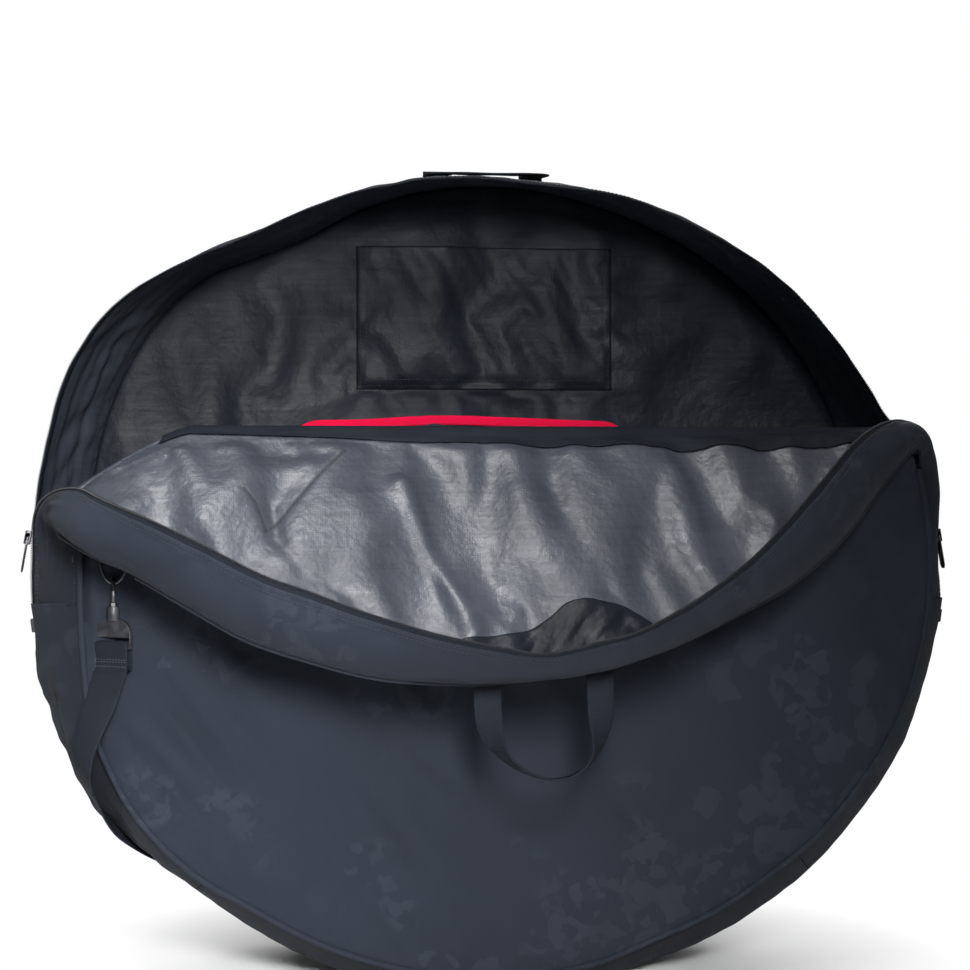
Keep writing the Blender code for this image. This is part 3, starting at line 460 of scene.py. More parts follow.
def repeat_along(name, lines, kind, finish):
    """Pieces along several lines, each a pair of points and out directions."""
    pitch, size = REPEATS[kind]
    mesh = bpy.data.meshes.new(name + "_line")
    points = []
    outs = []
    edges = []
    for line, out in lines:
        low = len(points)
        points.extend(np.asarray(line, float).tolist())
        outs.extend(np.asarray(out, float).tolist())
        edges.extend([(low + k, low + k + 1) for k in range(len(line) - 1)])
    mesh.from_pydata(points, edges, [])
    attribute = mesh.attributes.new("out", "FLOAT_VECTOR", "POINT")
    attribute.data.foreach_set("vector", np.asarray(outs, float).ravel())
    obj = bpy.data.objects.new(name + "_line", mesh)
    bpy.context.scene.collection.objects.link(obj)
    modifier = obj.modifiers.new("repeat", "NODES")
    modifier.node_group = along_tree
    values = {"Pitch": pitch, "Size": size, "Finish": finish}
    for item in along_tree.interface.items_tree:
        if item.in_out == "INPUT" and item.name in values:
            modifier[item.identifier] = values[item.name]
    bpy.context.view_layer.update()
    graph = bpy.context.evaluated_depsgraph_get()
    plain = bpy.data.meshes.new_from_object(obj.evaluated_get(graph))
    bpy.data.objects.remove(obj)
    plain.polygons.foreach_set("use_smooth", np.ones(len(plain.polygons), bool))
    made = bpy.data.objects.new(name, plain)
    bpy.context.scene.collection.objects.link(made)
    return made


# Finishes

def node(tree, kind, inputs=(), **settings):
    """Add a shader node and return its first output."""
    made = tree.nodes.new("ShaderNode" + kind)
    for key, value in settings.items():
        setattr(made, key, value)
    for key, value in dict(inputs).items():
        plug(tree, made.inputs[key], value)
    return made.outputs[0]


def plug(tree, socket, value):
    """Link a socket to an output, or set it to a value."""
    if isinstance(value, bpy.types.NodeSocket):
        tree.links.new(value, socket)
    else:
        socket.default_value = value


def maths(tree, operation, first, second=0.0):
    """A sum of one or two values."""
    return node(tree, "Math", {0: first, 1: second}, operation=operation)


def mixed(tree, share, first, second):
    """A colour between two, by a share."""
    made = tree.nodes.new("ShaderNodeMix")
    made.data_type = "RGBA"
    plug(tree, made.inputs[0], share)
    plug(tree, made.inputs[6], first)
    plug(tree, made.inputs[7], second)
    return made.outputs[2]


def stretched(tree, value, low, high, out_low=0.0, out_high=1.0):
    """A value moved from one range to another and kept inside it."""
    return node(tree, "MapRange", {0: value, 1: low, 2: high, 3: out_low, 4: out_high})


def object_place(tree, scale=(1, 1, 1)):
    """Where a point lies on the bag, in metres."""
    place = tree.nodes.new("ShaderNodeTexCoord").outputs["Object"]
    return node(tree, "Mapping", {"Vector": place, "Scale": scale})


def spread_place(tree, pitch_across, pitch_along):
    """The cloth's own place, counted in yarns across and along."""
    place = node(tree, "UVMap", uv_map="spread")
    return node(tree, "Mapping", {"Vector": place,
                                  "Scale": (1 / pitch_across, 1 / pitch_along, 1)})


def weave(tree, pitch_across, pitch_along):
    """Height of a plain weave, from 0 to 1."""
    parts = node(tree, "SeparateXYZ", {0: spread_place(tree, pitch_across, pitch_along)})
    y = parts.node.outputs[1]
    across = maths(tree, "SINE", maths(tree, "MULTIPLY", parts, math.pi))
    along = maths(tree, "SINE", maths(tree, "MULTIPLY", y, math.pi))
    product = maths(tree, "MULTIPLY", across, along)
    return stretched(tree, product, -1, 1)


def bump(tree, height, distance, strength=1.0, below=None):
    """Normals of a height, over those of a bump below it."""
    made = tree.nodes.new("ShaderNodeBump")
    made.inputs["Strength"].default_value = strength
    made.inputs["Distance"].default_value = distance
    plug(tree, made.inputs["Height"], height)
    if below is not None:
        plug(tree, made.inputs["Normal"], below)
    return made.outputs["Normal"]


def new_finish(name, roughness, metallic=0.0, sheen=0.0):
    """A material and its tree, with what is the same all over set on the shader."""
    made = bpy.data.materials.new(name)
    made.use_nodes = True
    shader = made.node_tree.nodes["Principled BSDF"]
    shader.inputs["Roughness"].default_value = roughness
    shader.inputs["Metallic"].default_value = metallic
    shader.inputs["Sheen Weight"].default_value = sheen
    return made, made.node_tree, shader


def shell_cloth(name, depth):
    """Matte coated cloth with a tonal mottle, its colours scaled by depth; a depth below 1 paints
    shade into a darker copy.
    """
    made, tree, shader = new_finish(name, 0.82, sheen=0.02)
    shader.inputs["Sheen Roughness"].default_value = 0.5
    shader.inputs["Specular IOR Level"].default_value = 0.14
    base = (0.0150 * depth, 0.0190 * depth, 0.0275 * depth, 1)
    lighter = (0.0245 * depth, 0.0295 * depth, 0.0400 * depth, 1)
    darker = (0.0115 * depth, 0.0150 * depth, 0.0225 * depth, 1)
    place = object_place(tree)
    soft = node(tree, "TexNoise", {"Vector": place, "Scale": 9, "Detail": 3})
    ground = mixed(tree, stretched(tree, soft, 0.35, 0.7), darker, base)
    # Angular patches and clusters of small flakes, a little lighter
    bent = node(tree, "TexNoise", {"Vector": place, "Scale": 38, "Detail": 3})
    shifted = node(tree, "VectorMath", {0: bent.node.outputs[1], 1: (0.5, 0.5, 0.5)},
                   operation="SUBTRACT")
    shifted = node(tree, "VectorMath", {0: shifted, "Scale": 0.030}, operation="SCALE")
    bent_place = node(tree, "VectorMath", {0: place, 1: shifted}, operation="ADD")

    def patches(scale, chosen_above, field_scale, field_above):
        cells = tree.nodes.new("ShaderNodeTexVoronoi")
        plug(tree, cells.inputs["Vector"], bent_place)
        cells.inputs["Scale"].default_value = scale
        cell = node(tree, "SeparateColor", {0: cells.outputs["Color"]})
        field = node(tree, "TexNoise", {"Vector": place, "Scale": field_scale, "Detail": 1})
        chosen = stretched(tree, cell, chosen_above, chosen_above + 0.02)
        inside = stretched(tree, field, field_above, field_above + 0.03)
        bright = stretched(tree, cell.node.outputs[1], 0, 1, 0.45, 1.0)
        return maths(tree, "MULTIPLY", maths(tree, "MULTIPLY", chosen, inside), bright)

    lit = maths(tree, "MAXIMUM", patches(38, 0.84, 3.1, 0.47), patches(92, 0.62, 6.5, 0.54))
    colour = mixed(tree, maths(tree, "MULTIPLY", lit, 0.62), ground, lighter)
    yarn = weave(tree, 0.00085, 0.00085)
    colour = mixed(tree, stretched(tree, yarn, 0.0, 1.0, 0.0, 0.25), colour, darker)
    plug(tree, shader.inputs["Base Color"], colour)
    pile = node(tree, "TexNoise", {"Vector": place, "Scale": 260, "Detail": 2})
    lower = bump(tree, pile, 0.0006, 0.35)
    plug(tree, shader.inputs["Normal"], bump(tree, yarn, 0.0003, 0.5, lower))
    rough = stretched(tree, soft, 0.3, 0.7, 0.76, 0.9)
    plug(tree, shader.inputs["Roughness"], rough)
    return made


def lining_cloth(name, base, lighter, rough_low, rough_high, gloss=0.5, crease=1.0):
    """Coated lining: a sheen of fine level yarns, cloudy wear, small crushed creases, and painted
    shade along marked creases.
    """
    made, tree, shader = new_finish(name, 0.4)
    shader.inputs["Specular IOR Level"].default_value = gloss
    place = object_place(tree)
    soft = node(tree, "TexNoise", {"Vector": place, "Scale": 11, "Detail": 4})
    streaks = node(tree, "TexNoise", {"Vector": object_place(tree, (1, 1, 22)), "Scale": 16,
                                      "Detail": 3})
    shown = maths(tree, "ADD", maths(tree, "MULTIPLY", soft, 0.65),
                  maths(tree, "MULTIPLY", streaks, 0.35))
    colour = mixed(tree, stretched(tree, shown, 0.36, 0.64), base, lighter)
    grid = node(tree, "SeparateXYZ", {0: spread_place(tree, 0.0022, 0.0022)})
    rule = maths(tree, "MAXIMUM",
                 maths(tree, "COSINE", maths(tree, "MULTIPLY", grid, 2 * math.pi)),
                 maths(tree, "COSINE",
                       maths(tree, "MULTIPLY", grid.node.outputs[1], 2 * math.pi)))
    rule = stretched(tree, rule, 0.4, 1.0)
    colour = mixed(tree, maths(tree, "MULTIPLY", rule, 0.07), colour, lighter)
    # Painted shade: a near-black colour, and rougher cloth, along the creases marked on the mesh
    crease_shade_input = tree.nodes.new("ShaderNodeAttribute")
    crease_shade_input.attribute_name = "crease"
    painted_crease_shade = maths(tree, "MULTIPLY", crease_shade_input.outputs["Fac"], 0.85)
    colour = mixed(tree, painted_crease_shade, colour, (0.004, 0.005, 0.008, 1))
    plug(tree, shader.inputs["Base Color"], colour)
    # Crushed creases that the mesh is too coarse for
    crush = node(tree, "TexNoise", {"Vector": place, "Scale": 30, "Detail": 4,
                                    "Roughness": 0.55})
    fine = node(tree, "TexNoise", {"Vector": place, "Scale": 120, "Detail": 3})
    lower = bump(tree, crush, 0.006, 0.34 * crease)
    middle = bump(tree, fine, 0.0010, 0.30, lower)
    plug(tree, shader.inputs["Normal"], bump(tree, rule, 0.0001, 0.3, middle))
    rough = stretched(tree, shown, 0.38, 0.62, rough_high, rough_low)
    plug(tree, shader.inputs["Roughness"],
         maths(tree, "ADD", rough, maths(tree, "MULTIPLY", crease_shade_input.outputs["Fac"], 0.5)))
    return made


def webbing_finish(name, base, lighter, rib):
    """Ribbed woven webbing, its ribs across the strap."""
    made, tree, shader = new_finish(name, 0.78)
    shader.inputs["Specular IOR Level"].default_value = 0.12
    parts = node(tree, "SeparateXYZ", {0: spread_place(tree, rib * 1.4, rib)})
    ribs = maths(tree, "SINE", maths(tree, "MULTIPLY", parts.node.outputs[1], 2 * math.pi))
    twill = maths(tree, "ADD", maths(tree, "MULTIPLY", parts, 2 * math.pi),
                  maths(tree, "MULTIPLY", parts.node.outputs[1], math.pi))
    height = maths(tree, "ADD", maths(tree, "MULTIPLY", ribs, 0.5),
                   maths(tree, "MULTIPLY", maths(tree, "SINE", twill), 0.5))
    height = stretched(tree, height, -1, 1)
    soft = node(tree, "TexNoise", {"Vector": object_place(tree), "Scale": 60, "Detail": 3})
    colour = mixed(tree, height, base, lighter)
    colour = mixed(tree, stretched(tree, soft, 0.35, 0.75, 0.0, 0.5), colour, base)
    plug(tree, shader.inputs["Base Color"], colour)
    plug(tree, shader.inputs["Normal"], bump(tree, height, 0.0005, 0.7))
    return made


def solid_finish(name, base, lighter, roughness, metallic=0.0):
    """Moulded plastic or plated metal with a fine grain and rubbed places."""
    made, tree, shader = new_finish(name, roughness, metallic)
    place = object_place(tree)
    soft = node(tree, "TexNoise", {"Vector": place, "Scale": 90, "Detail": 4})
    fine = node(tree, "TexNoise", {"Vector": place, "Scale": 400, "Detail": 2})
    plug(tree, shader.inputs["Base Color"],
         mixed(tree, stretched(tree, soft, 0.45, 0.75), base, lighter))
    plug(tree, shader.inputs["Roughness"],
         stretched(tree, soft, 0.3, 0.75, roughness - 0.08, roughness + 0.1))
    plug(tree, shader.inputs["Normal"], bump(tree, fine, 0.00025, 0.35))
    return made


# Outlines read from the bag: degrees round its middle, and metres

FRONT_SEAM = [
    (0, .4095), (15, .4065), (40, .404), (90, .402), (140, .404), (165, .409),
    (179, .4095), (185, .411), (193, .417), (201, .427), (207, .430), (214, .431),
    (224, .4245), (233, .413), (245, .4075), (254, .404), (269, .3995), (282, .396),
    (290, .391), (299, .3925), (309, .395), (317, .400), (327, .4045), (340, .4105),
]
SIDE_BULGE = [
    (5, .440), (15, .442), (40, .442), (90, .420), (140, .450), (165, .4595),
    (175, .459), (180, .462), (185, .460), (195, .458), (205, .459), (212, .457),
    (217, .4505), (221, .4445), (230, .4358), (242, .432), (250, .430), (270, .428),
    (290, .422), (297, .4255), (305, .4285), (315, .432), (325, .435), (335, .4385),
    (345, .437), (355, .440),
]
BACK_SEAM = [
    (0, .408), (20, .404), (35, .399), (50, .393), (65, .387), (80, .386), (90, .386),
    (100, .385), (110, .382), (120, .379), (128, .390), (135, .408), (145, .418),
    (160, .418), (180, .410), (200, .404), (270, .402), (340, .404),
]
CLOTH_ROWS = 56
HOOD_END_SHARE = 0.945
PIPING_RADIUS = 0.0030
# Free edge of the hood: degrees, radius, and its place towards the back
HOOD_EDGE = [
    (-8, .4400, -.0647), (0, .440, -.0647), (8, .438, -.0647), (13, .432, -.0647),
    (17, .418, -.0640), (21, .407, -.0630), (27, .401, -.0610), (36, .396, -.0580),
    (45, .392, -.0540), (53, .386, -.0510), (62, .380, -.048), (72.4, .3759, -.048),
    (78.8, .3717, -.048), (84.6, .3696, -.048), (93, .374, -.048), (102.3, .3804, -.050),
    (106, .3814, -.050), (112, .386, -.052), (121, .3923, -.056), (128.6, .4009, -.060),
    (135.5, .4186, -.0647), (146.4, .4503, -.0647), (156, .462, -.0647),
    (165.6, .4597, -.0647), (175, .459, -.0647), (187, .4605, -.0647),
]


def ring_points(radii, angles, y):
    """Points round the bag's middle at radii and angles, and a place towards the back."""
    x = radii * np.cos(angles)
    z = CENTRE_Z + radii * np.sin(angles)
    return np.stack([x, np.broadcast_to(y, x.shape), z], -1)


def seam_radius(table, x, z):
    """Radius of a seam in the direction of each place across and up."""
    turn = np.arctan2(z - CENTRE_Z, x)
    return ring_table(table, turn.ravel()).reshape(x.shape)


def gusset_grid(start, end, lift=0.0):
    """Points of the gusset between two angles, in degrees, from its front to its back seam."""
    columns = int((end - start) * 3.4)
    angles = np.radians(np.linspace(start, end, columns))
    degrees = np.degrees(angles) % 360
    front = ring_table(FRONT_SEAM, angles)
    ridge = ring_table(SIDE_BULGE, angles)
    back = ring_table(BACK_SEAM, angles)
    # Deep folds by the left corner, and none where the gusset meets the zip's ends
    left = rise_and_fall(degrees, 150, 175, 212, 236)
    clear_of_zip = rise_and_fall(degrees, ZIP_LEFT_END, 193, 347, 360 + ZIP_RIGHT_END)
    long_depth = 0.0014 + 0.0068 * left
    cross_depth = 0.0010 + 0.0022 * left
    ridge_depth = 0.0046 * left
    pucker_depth = 0.0009
    grid = []
    for y in np.linspace(FRONT_SEAM_Y, BACK_SEAM_Y, CLOTH_ROWS):
        if y < ZIP_Y:
            share = math.sin(math.pi / 2 * (y - FRONT_SEAM_Y) / (ZIP_Y - FRONT_SEAM_Y))
            radius = front + (ridge - front) * share
        else:
            share = math.cos(math.pi / 2 * (y - ZIP_Y) / (BACK_SEAM_Y - ZIP_Y))
            radius = back + (ridge - back) * share
        seam_distance = min(y - FRONT_SEAM_Y, BACK_SEAM_Y - y)
        inside = (1 - math.exp(-seam_distance / 0.018)) * clear_of_zip
        places = np.stack([angles * 0.43, np.full(columns, y)], -1)
        long_folds = rumple(places, (0.20, 0.026), 61.0)
        cross_folds = rumple(places, (0.030, 0.075), 63.0)
        puckers = rumple(places, (0.0075, 0.05), 65.0) * math.exp(-seam_distance / 0.010)
        ridges = 1 - 2.6 * np.abs(rumple(places, (0.17, 0.030), 62.0, 1))
        radius = radius + inside * (long_depth * long_folds + cross_depth * cross_folds)
        radius = radius + inside * ridge_depth * np.clip(ridges, -0.3, 1)
        radius = radius + pucker_depth * puckers
        grid.append(ring_points(radius + lift, angles, y))
    grid = np.array(grid)
    grid[..., 2] = np.maximum(grid[..., 2], CLOTH - lift + 0.0002)
    return grid


def fold_drop(x):
    """How far the crease sinks at its left end."""
    return 0.058 * np.clip((-0.305 - np.asarray(x, float)) / 0.110, 0, 1.1) ** 1.3


# The band of gusset in front of the zip: seam edge and zip edge, left to right
BAND = [
    ((-.4120, -.1225, .364), (-.4585, -.0647, .360)),
    ((-.4100, -.1225, .395), (-.4610, -.0650, .398)),
    ((-.4110, -.1240, .420), (-.4610, -.0700, .432)),
    ((-.4200, -.1300, .432), (-.4520, -.0880, .458)),
    ((-.4300, -.1480, .436), (-.4340, -.1180, .4715)),
    ((-.4260, -.1720, .432), (-.4100, -.1600, .4740)),
    ((-.3980, -.2060, .414), (-.3860, -.2050, .4637)),
    ((-.3590, -.2197, .396), (-.3390, -.2569, .444)),
    ((-.3120, -.2380, .3687), (-.2920, -.2725, .4215)),
    ((-.2580, -.2580, .339), (-.2450, -.2880, .398)),
    ((-.2035, -.2704, .321), (-.2050, -.2980, .384)),
    ((-.1490, -.2798, .307), (-.1600, -.3080, .367)),
    ((-.0980, -.2830, .302), (-.0980, -.3220, .348)),
    ((-.0480, -.2840, .301), (-.0530, -.3290, .338)),
    ((.0000, -.2815, .305), (.0000, -.3340, .330)),
    ((.0370, -.2775, .310), (.0480, -.3280, .339)),
    ((.0795, -.2730, .317), (.0850, -.3220, .348)),
    ((.1390, -.2600, .336), (.1370, -.3050, .373)),
    ((.2010, -.2420, .363), (.1850, -.2860, .403)),
    ((.2417, -.2290, .3825), (.2220, -.2650, .432)),
    ((.3000, -.2000, .424), (.2695, -.2350, .477)),
    ((.3570, -.1610, .483), (.3180, -.1900, .519)),
    ((.3860, -.1430, .510), (.3550, -.1500, .5365)),
    ((.3990, -.1280, .513), (.3900, -.1100, .540)),
    ((.4035, -.1235, .490), (.4190, -.0820, .525)),
    ((.4070, -.1225, .455), (.4330, -.0680, .490)),
    ((.4090, -.1225, .410), (.4390, -.0650, .440)),
    ((.4095, -.1225, .364), (.4400, -.0647, .364)),
]
BAND_COUNT = 260
BAND_LANES = 34
# Rows of the band where it turns its corners, where the lining meets it, and its piping
LEFT_CORNER = 27
RIGHT_CORNER = 34
GUTTER_START = 12
GUTTER_END = -34
PIPING_START = 52
PIPING_END = -34
# Shares of the band's width: the end of its cloth, the zip's tape, and the teeth
CLOTH_END_SHARE = 0.91
TAPE_SHARES = (0.88, 0.99)
TEETH_SHARE = 0.995
# Flap
FLAP_COLUMNS = 420
FLAP_ROWS = 190
FACING_COLUMN = 44
LINING_SLANT = 0.42
# Main folds of the flap's lining: a line across and up from the crease, rise, width
LINING_FOLDS = [
    (((-.1128, -.0624), (-.0889, -.140), (-.0568, -.217)), 0.0075, 0.011),
    (((-.0850, -.0450), (-.0600, -.110), (-.0300, -.200)), -0.0035, 0.013),
    (((-.0002, -.0737), (.0180, -.128), (.0470, -.192)), 0.0058, 0.012),
    (((.0260, -.0600), (.0480, -.120), (.0660, -.180)), -0.0030, 0.012),
    (((-.2900, -.0950), (-.2500, -.050), (-.2050, -.040)), 0.0060, 0.017),
    (((-.2100, -.1550), (-.2300, -.120), (-.2350, -.085)), -0.0040, 0.008),
    (((-.1650, -.1700), (-.1500, -.120), (-.1550, -.080)), 0.0045, 0.014),
    (((.1400, -.0500), (.1500, -.090), (.1480, -.140)), 0.0042, 0.016),
    (((.0950, -.0400), (.1050, -.100), (.1000, -.160)), -0.0025, 0.016),
]
# Divider: radius of its top corners, the arc it stands in, and how its top sinks
DIVIDER_CORNER = 0.032
DIVIDER_ARC = 0.378
DIVIDER_SINK = ((-.215, -.170, -.135, -.060, .020, .095, .140),
                (.0085, .0070, .0062, .0022, .0042, .0070, .0082))
# Sharp creases that the lining keeps from being folded away, with shade painted dark along them
LINING_CREASES = [
    ((-.1629, -.0237), (-.1776, -.0397), (-.2018, -.0679), (-.2209, -.0924), (-.2396, -.1121)),
    ((-.2396, -.1121), (-.2422, -.1011), (-.2483, -.0824), (-.2592, -.0701)),
]
# Top of the gathered strip of painted shade at the lining's foot: across, and distance below the
# crease
FACING_TOP = [
    (-.0900, .2330), (-.0500, .2270), (-.0114, .2205), (.0125, .2095), (.0278, .1985),
    (.0465, .1945), (.0642, .1965), (.0786, .1975), (.0950, .2040), (.1100, .2140),
    (.1230, .2250),
]


def make_room(points):
    """Draw the cloth in where the zip sliders sit."""
    x, y, z = points[..., 0], points[..., 1], points[..., 2]
    near = np.exp(-((z - SLIDER_Z) / 0.034) ** 2 - ((y - ZIP_Y) / 0.018) ** 2)
    depth = np.where(x > 0, 0.0065, 0.0030) * near * (np.abs(x) > 0.38)
    points[..., 0] = x - np.sign(x) * depth
    return points


def band_grid(low_share, high_share, lanes, lift=0.0):
    """Points of the band from its seam, 0, to its zip edge, 1."""
    rows = through(BAND, BAND_COUNT)
    seam = rows[:, 0]
    zip_edge = rows[:, 1]
    along = unit(np.gradient((seam + zip_edge) / 2, axis=0))
    across = zip_edge - seam
    out = unit(np.cross(along, across))
    places = np.arange(BAND_COUNT)
    hanging_part = rise_and_fall(places, 2, 34, BAND_COUNT - 36, BAND_COUNT - 3)
    left_end = rise_and_fall(places, 1, 8, 22, 34)
    run = distances_along(seam)
    grid = []
    for share in np.linspace(low_share, high_share, lanes):
        middle = math.sin(math.pi * share)
        arch = (0.0035 + 0.0075 * hanging_part) * math.sin(math.pi * share ** 0.8)
        spots = np.stack([run + 0.012 * share, np.full(BAND_COUNT, share * 0.055)], -1)
        folds = 0.0026 * middle * rumple(spots, (0.040, 0.075), 81.0)
        by_the_stitches = 0.0013 * math.exp(-((share - 0.80) / 0.09) ** 2)
        puckers = by_the_stitches * rumple(spots, (0.0085, 0.03), 83.0)
        ridges = 1 - 2.6 * np.abs(rumple(spots, (0.11, 0.017), 85.0, 1))
        ridges = 0.0040 * middle * left_end * np.clip(ridges, -0.3, 1)
        shift = arch + (folds + puckers) * (0.3 + 0.7 * hanging_part) + ridges + lift
        grid.append(seam + across * share + out * np.reshape(shift, (-1, 1)))
    return make_room(np.array(grid))


def shade(obj, body, slot, *replaced):
    """A piece that rides on one body, and the frame's nodes it stands for, which it hides; slot
    is not used.
    """
    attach(obj, body)
    if replaced:
        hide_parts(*replaced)
    return obj


def bend(obj, slot, *replaced):
    """A piece of cloth that crosses the crease."""
    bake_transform(obj)
    if replaced:
        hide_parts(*replaced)
    return obj


# Pieces

def gusset_cloth(name, outside, inside, inner_finish):
    """One sewn sheet of the gusset."""
    obj = wall(name + "_cloth", outside, inside, [gusset_shell_painted_shade, inner_finish, gusset_shell_painted_shade],
               spread_of(outside))
    shade(obj, "bag_body", "shell", name)


def make_gusset():
    """The gusset below the zip, in its three sewn panels."""
    for name, start, end in (("gusset_side_left", ZIP_LEFT_END, 225.9),
                             ("gusset_base", 226.0, 314.0),
                             ("gusset_side_right", 314.1, 360 + ZIP_RIGHT_END)):
        gusset_cloth(name, gusset_grid(start, end, CLOTH), gusset_grid(start, end),
                     dark_lining)


def hood_edge(angles):
    """Radius, and place towards the back, of the hood's free edge at each angle."""
    table = np.array(HOOD_EDGE)
    return hermite(table[:, 0], table[:, 1:], np.degrees(angles))


def hood_grid(angles, low_share, high_share, rows, lift=0.0):
    """Points of the hood from the back seam, 0, to its free edge, 1."""
    degrees = np.degrees(angles)
    back = ring_table(BACK_SEAM, angles)
    edge = hood_edge(angles)
    top = np.exp(-((degrees - 86) / 26) ** 2)
    clear_of_ends = rise_and_fall(degrees, ZIP_RIGHT_END, 6, 172, ZIP_LEFT_END)
    fold_depth = 0.0042
    pucker_depth = 0.0016
    grid = []
    for share in np.linspace(low_share, high_share, rows):
        y = BACK_SEAM_Y + (edge[:, 1] - BACK_SEAM_Y) * share
        droop = share ** 1.7
        swell = 0.010 * math.sin(math.pi * share) * (1 - 0.85 * top)
        radius = back + (edge[:, 0] - back) * droop + swell
        places = np.stack([angles * 0.43, np.full(len(angles), y)], -1)
        folds = rumple(places + places[:, ::-1] * (0.5, 0), (0.045, 0.10), 67.0)
        long_folds = rumple(places, (0.20, 0.040), 68.0)
        puckers = rumple(places, (0.009, 0.06), 69.0) * math.exp(-share / 0.12)
        wave = (fold_depth * math.sin(math.pi * min(share, 0.93)) * (folds + long_folds)
                + pucker_depth * puckers)
        wave = wave * (1 - 0.6 * top) * clear_of_ends
        grid.append(ring_points(radius + wave + lift, angles, y))
    return make_room(np.array(grid))


def make_hood():
    """The gusset behind the zip, in two halves that meet at the top."""
    for name, start, end in (("gusset_back_strip_right", ZIP_RIGHT_END, 90.0),
                             ("gusset_back_strip_left", 90.1, ZIP_LEFT_END)):
        angles = np.radians(np.linspace(start, end, 280))
        # The hood's inner face is painted lighter, standing for light in its shade
        gusset_cloth(name, hood_grid(angles, 0, HOOD_END_SHARE, CLOTH_ROWS, CLOTH),
                     hood_grid(angles, 0, HOOD_END_SHARE, CLOTH_ROWS), hood_inner_painted_light)


def seam_puckers(places, inset, seed):
    """Small gathers square to a seam, dying away a few centimetres from it."""
    turn = np.arctan2(places[..., 1] - CENTRE_Z, places[..., 0])
    along = np.stack([turn * 0.4, inset * 0.5], -1)
    fine = rumple(along, (0.0075, 0.05), seed)
    broad = rumple(along, (0.026, 0.09), seed + 1)
    return 0.0022 * fine * np.exp(-inset / 0.013) + 0.0045 * broad * np.exp(-inset / 0.045)


def make_back_panel():
    """The padded round back, with the piping in its seam."""
    angles = np.linspace(0, 2 * math.pi, 300, endpoint=False)
    radii = ring_table(BACK_SEAM, angles) - 0.0004
    shares = np.linspace(0.002, 1, 130)
    disc = np.array([ring_points(radii * share, angles, 0) for share in shares])
    places = disc[..., [0, 2]]
    shares = shares[:, None]
    swell = 0.007 + 0.005 * rumple(places, (0.16, 0.16), 1.0)
    puckers = seam_puckers(places, radii * (1 - shares), 2.0)
    outside = disc.copy()
    outside[..., 1] = OUTER_DEPTH + (swell + puckers) * (1 - shares ** 4)
    inside = disc.copy()
    inside[..., 1] = back_lining_depth(places[..., 0], places[..., 1])
    inside[-1, :, 1] = LINING_DEPTH
    obj = wall("back_panel", outside, inside, [shell, back_lining_painted_shade, shell], places, wrap=True)
    shade(obj, "bag_body", "shell", "back_outer", "back_foam", "back_lining")
    seam = ring_points(radii + 0.0010, angles, BACK_SEAM_Y + 0.0008)
    piping = cord("back_piping_cord", seam, PIPING_RADIUS, shell, closed=True)
    shade(piping, "bag_body", "shell", "back_piping")


def back_lining_depth(x, z):
    """Where the back lining's face lies, towards the back."""
    share = np.hypot(x, z - CENTRE_Z) / seam_radius(BACK_SEAM, x, z)
    rim = 1 - np.clip(share, 0, 1) ** 10
    height = sampled(back_field, back_xs, back_zs, x, z)
    return LINING_DEPTH - 0.0010 - (0.006 + capped(height, 0.011)) * rim


def settle_back():
    """Slack in the back lining, held at its seam and round the pocket."""
    low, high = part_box("back_pocket")
    x, z = np.meshgrid(back_xs, back_zs)
    held = np.hypot(x, z - CENTRE_Z) > seam_radius(BACK_SEAM, x, z) - 0.010
    outline = [(low.x, high.z), (low.x, low.z), (high.x, low.z), (high.x, high.z)]
    sewn = line_distance(np.stack([x, z], -1), outline) < 0.0035
    return settled(back_xs, back_zs, held | sewn, (0.022, 0.014), 3.0, 0.3)


def panel_below_fold(ring_count, ray_count, shrink):
    """Grid of the front panel, rays from the crease's middle down to the seam."""
    edge_z = FOLD.z - 0.002
    seam_angles = np.radians(np.linspace(-195, 16.4, 720))
    seam = ring_points(ring_table(FRONT_SEAM, seam_angles) - shrink, seam_angles, 0)
    # Where each ray meets the seam
    low = (seam[:, 2] < edge_z - 0.001)
    ray_of_seam = np.degrees(np.arctan2(seam[:, 2] - edge_z, seam[:, 0])) % 360
    order = np.argsort(ray_of_seam[low])
    rays = np.linspace(ray_of_seam[low][order][0], ray_of_seam[low][order][-1], ray_count)
    reach = np.hypot(seam[low][:, 0], seam[low][:, 2] - edge_z)[order]
    reach = np.interp(rays, ray_of_seam[low][order], reach)
    turn = np.radians(rays)
    grid = []
    for share in np.linspace(0.004, 1, ring_count):
        x = reach * share * np.cos(turn)
        z = edge_z + reach * share * np.sin(turn)
        near = 1 - smooth_share(edge_z - z, 0.0, 0.16)
        grid.append(np.stack([x, np.zeros_like(x), z - fold_drop(x) * near], -1))
    return np.array(grid)


def settle_front():
    """Slack in the padded front panel: broad soft folds."""
    x, z = np.meshgrid(front_xs, front_zs)
    held = np.hypot(x, z - CENTRE_Z) > seam_radius(FRONT_SEAM, x, z) - 0.012
    held |= z > FOLD.z - fold_drop(x) - 0.010
    return settled(front_xs, front_zs, held, (0.010, 0.008), 5.0, 0.8, 70.0, 0.008)


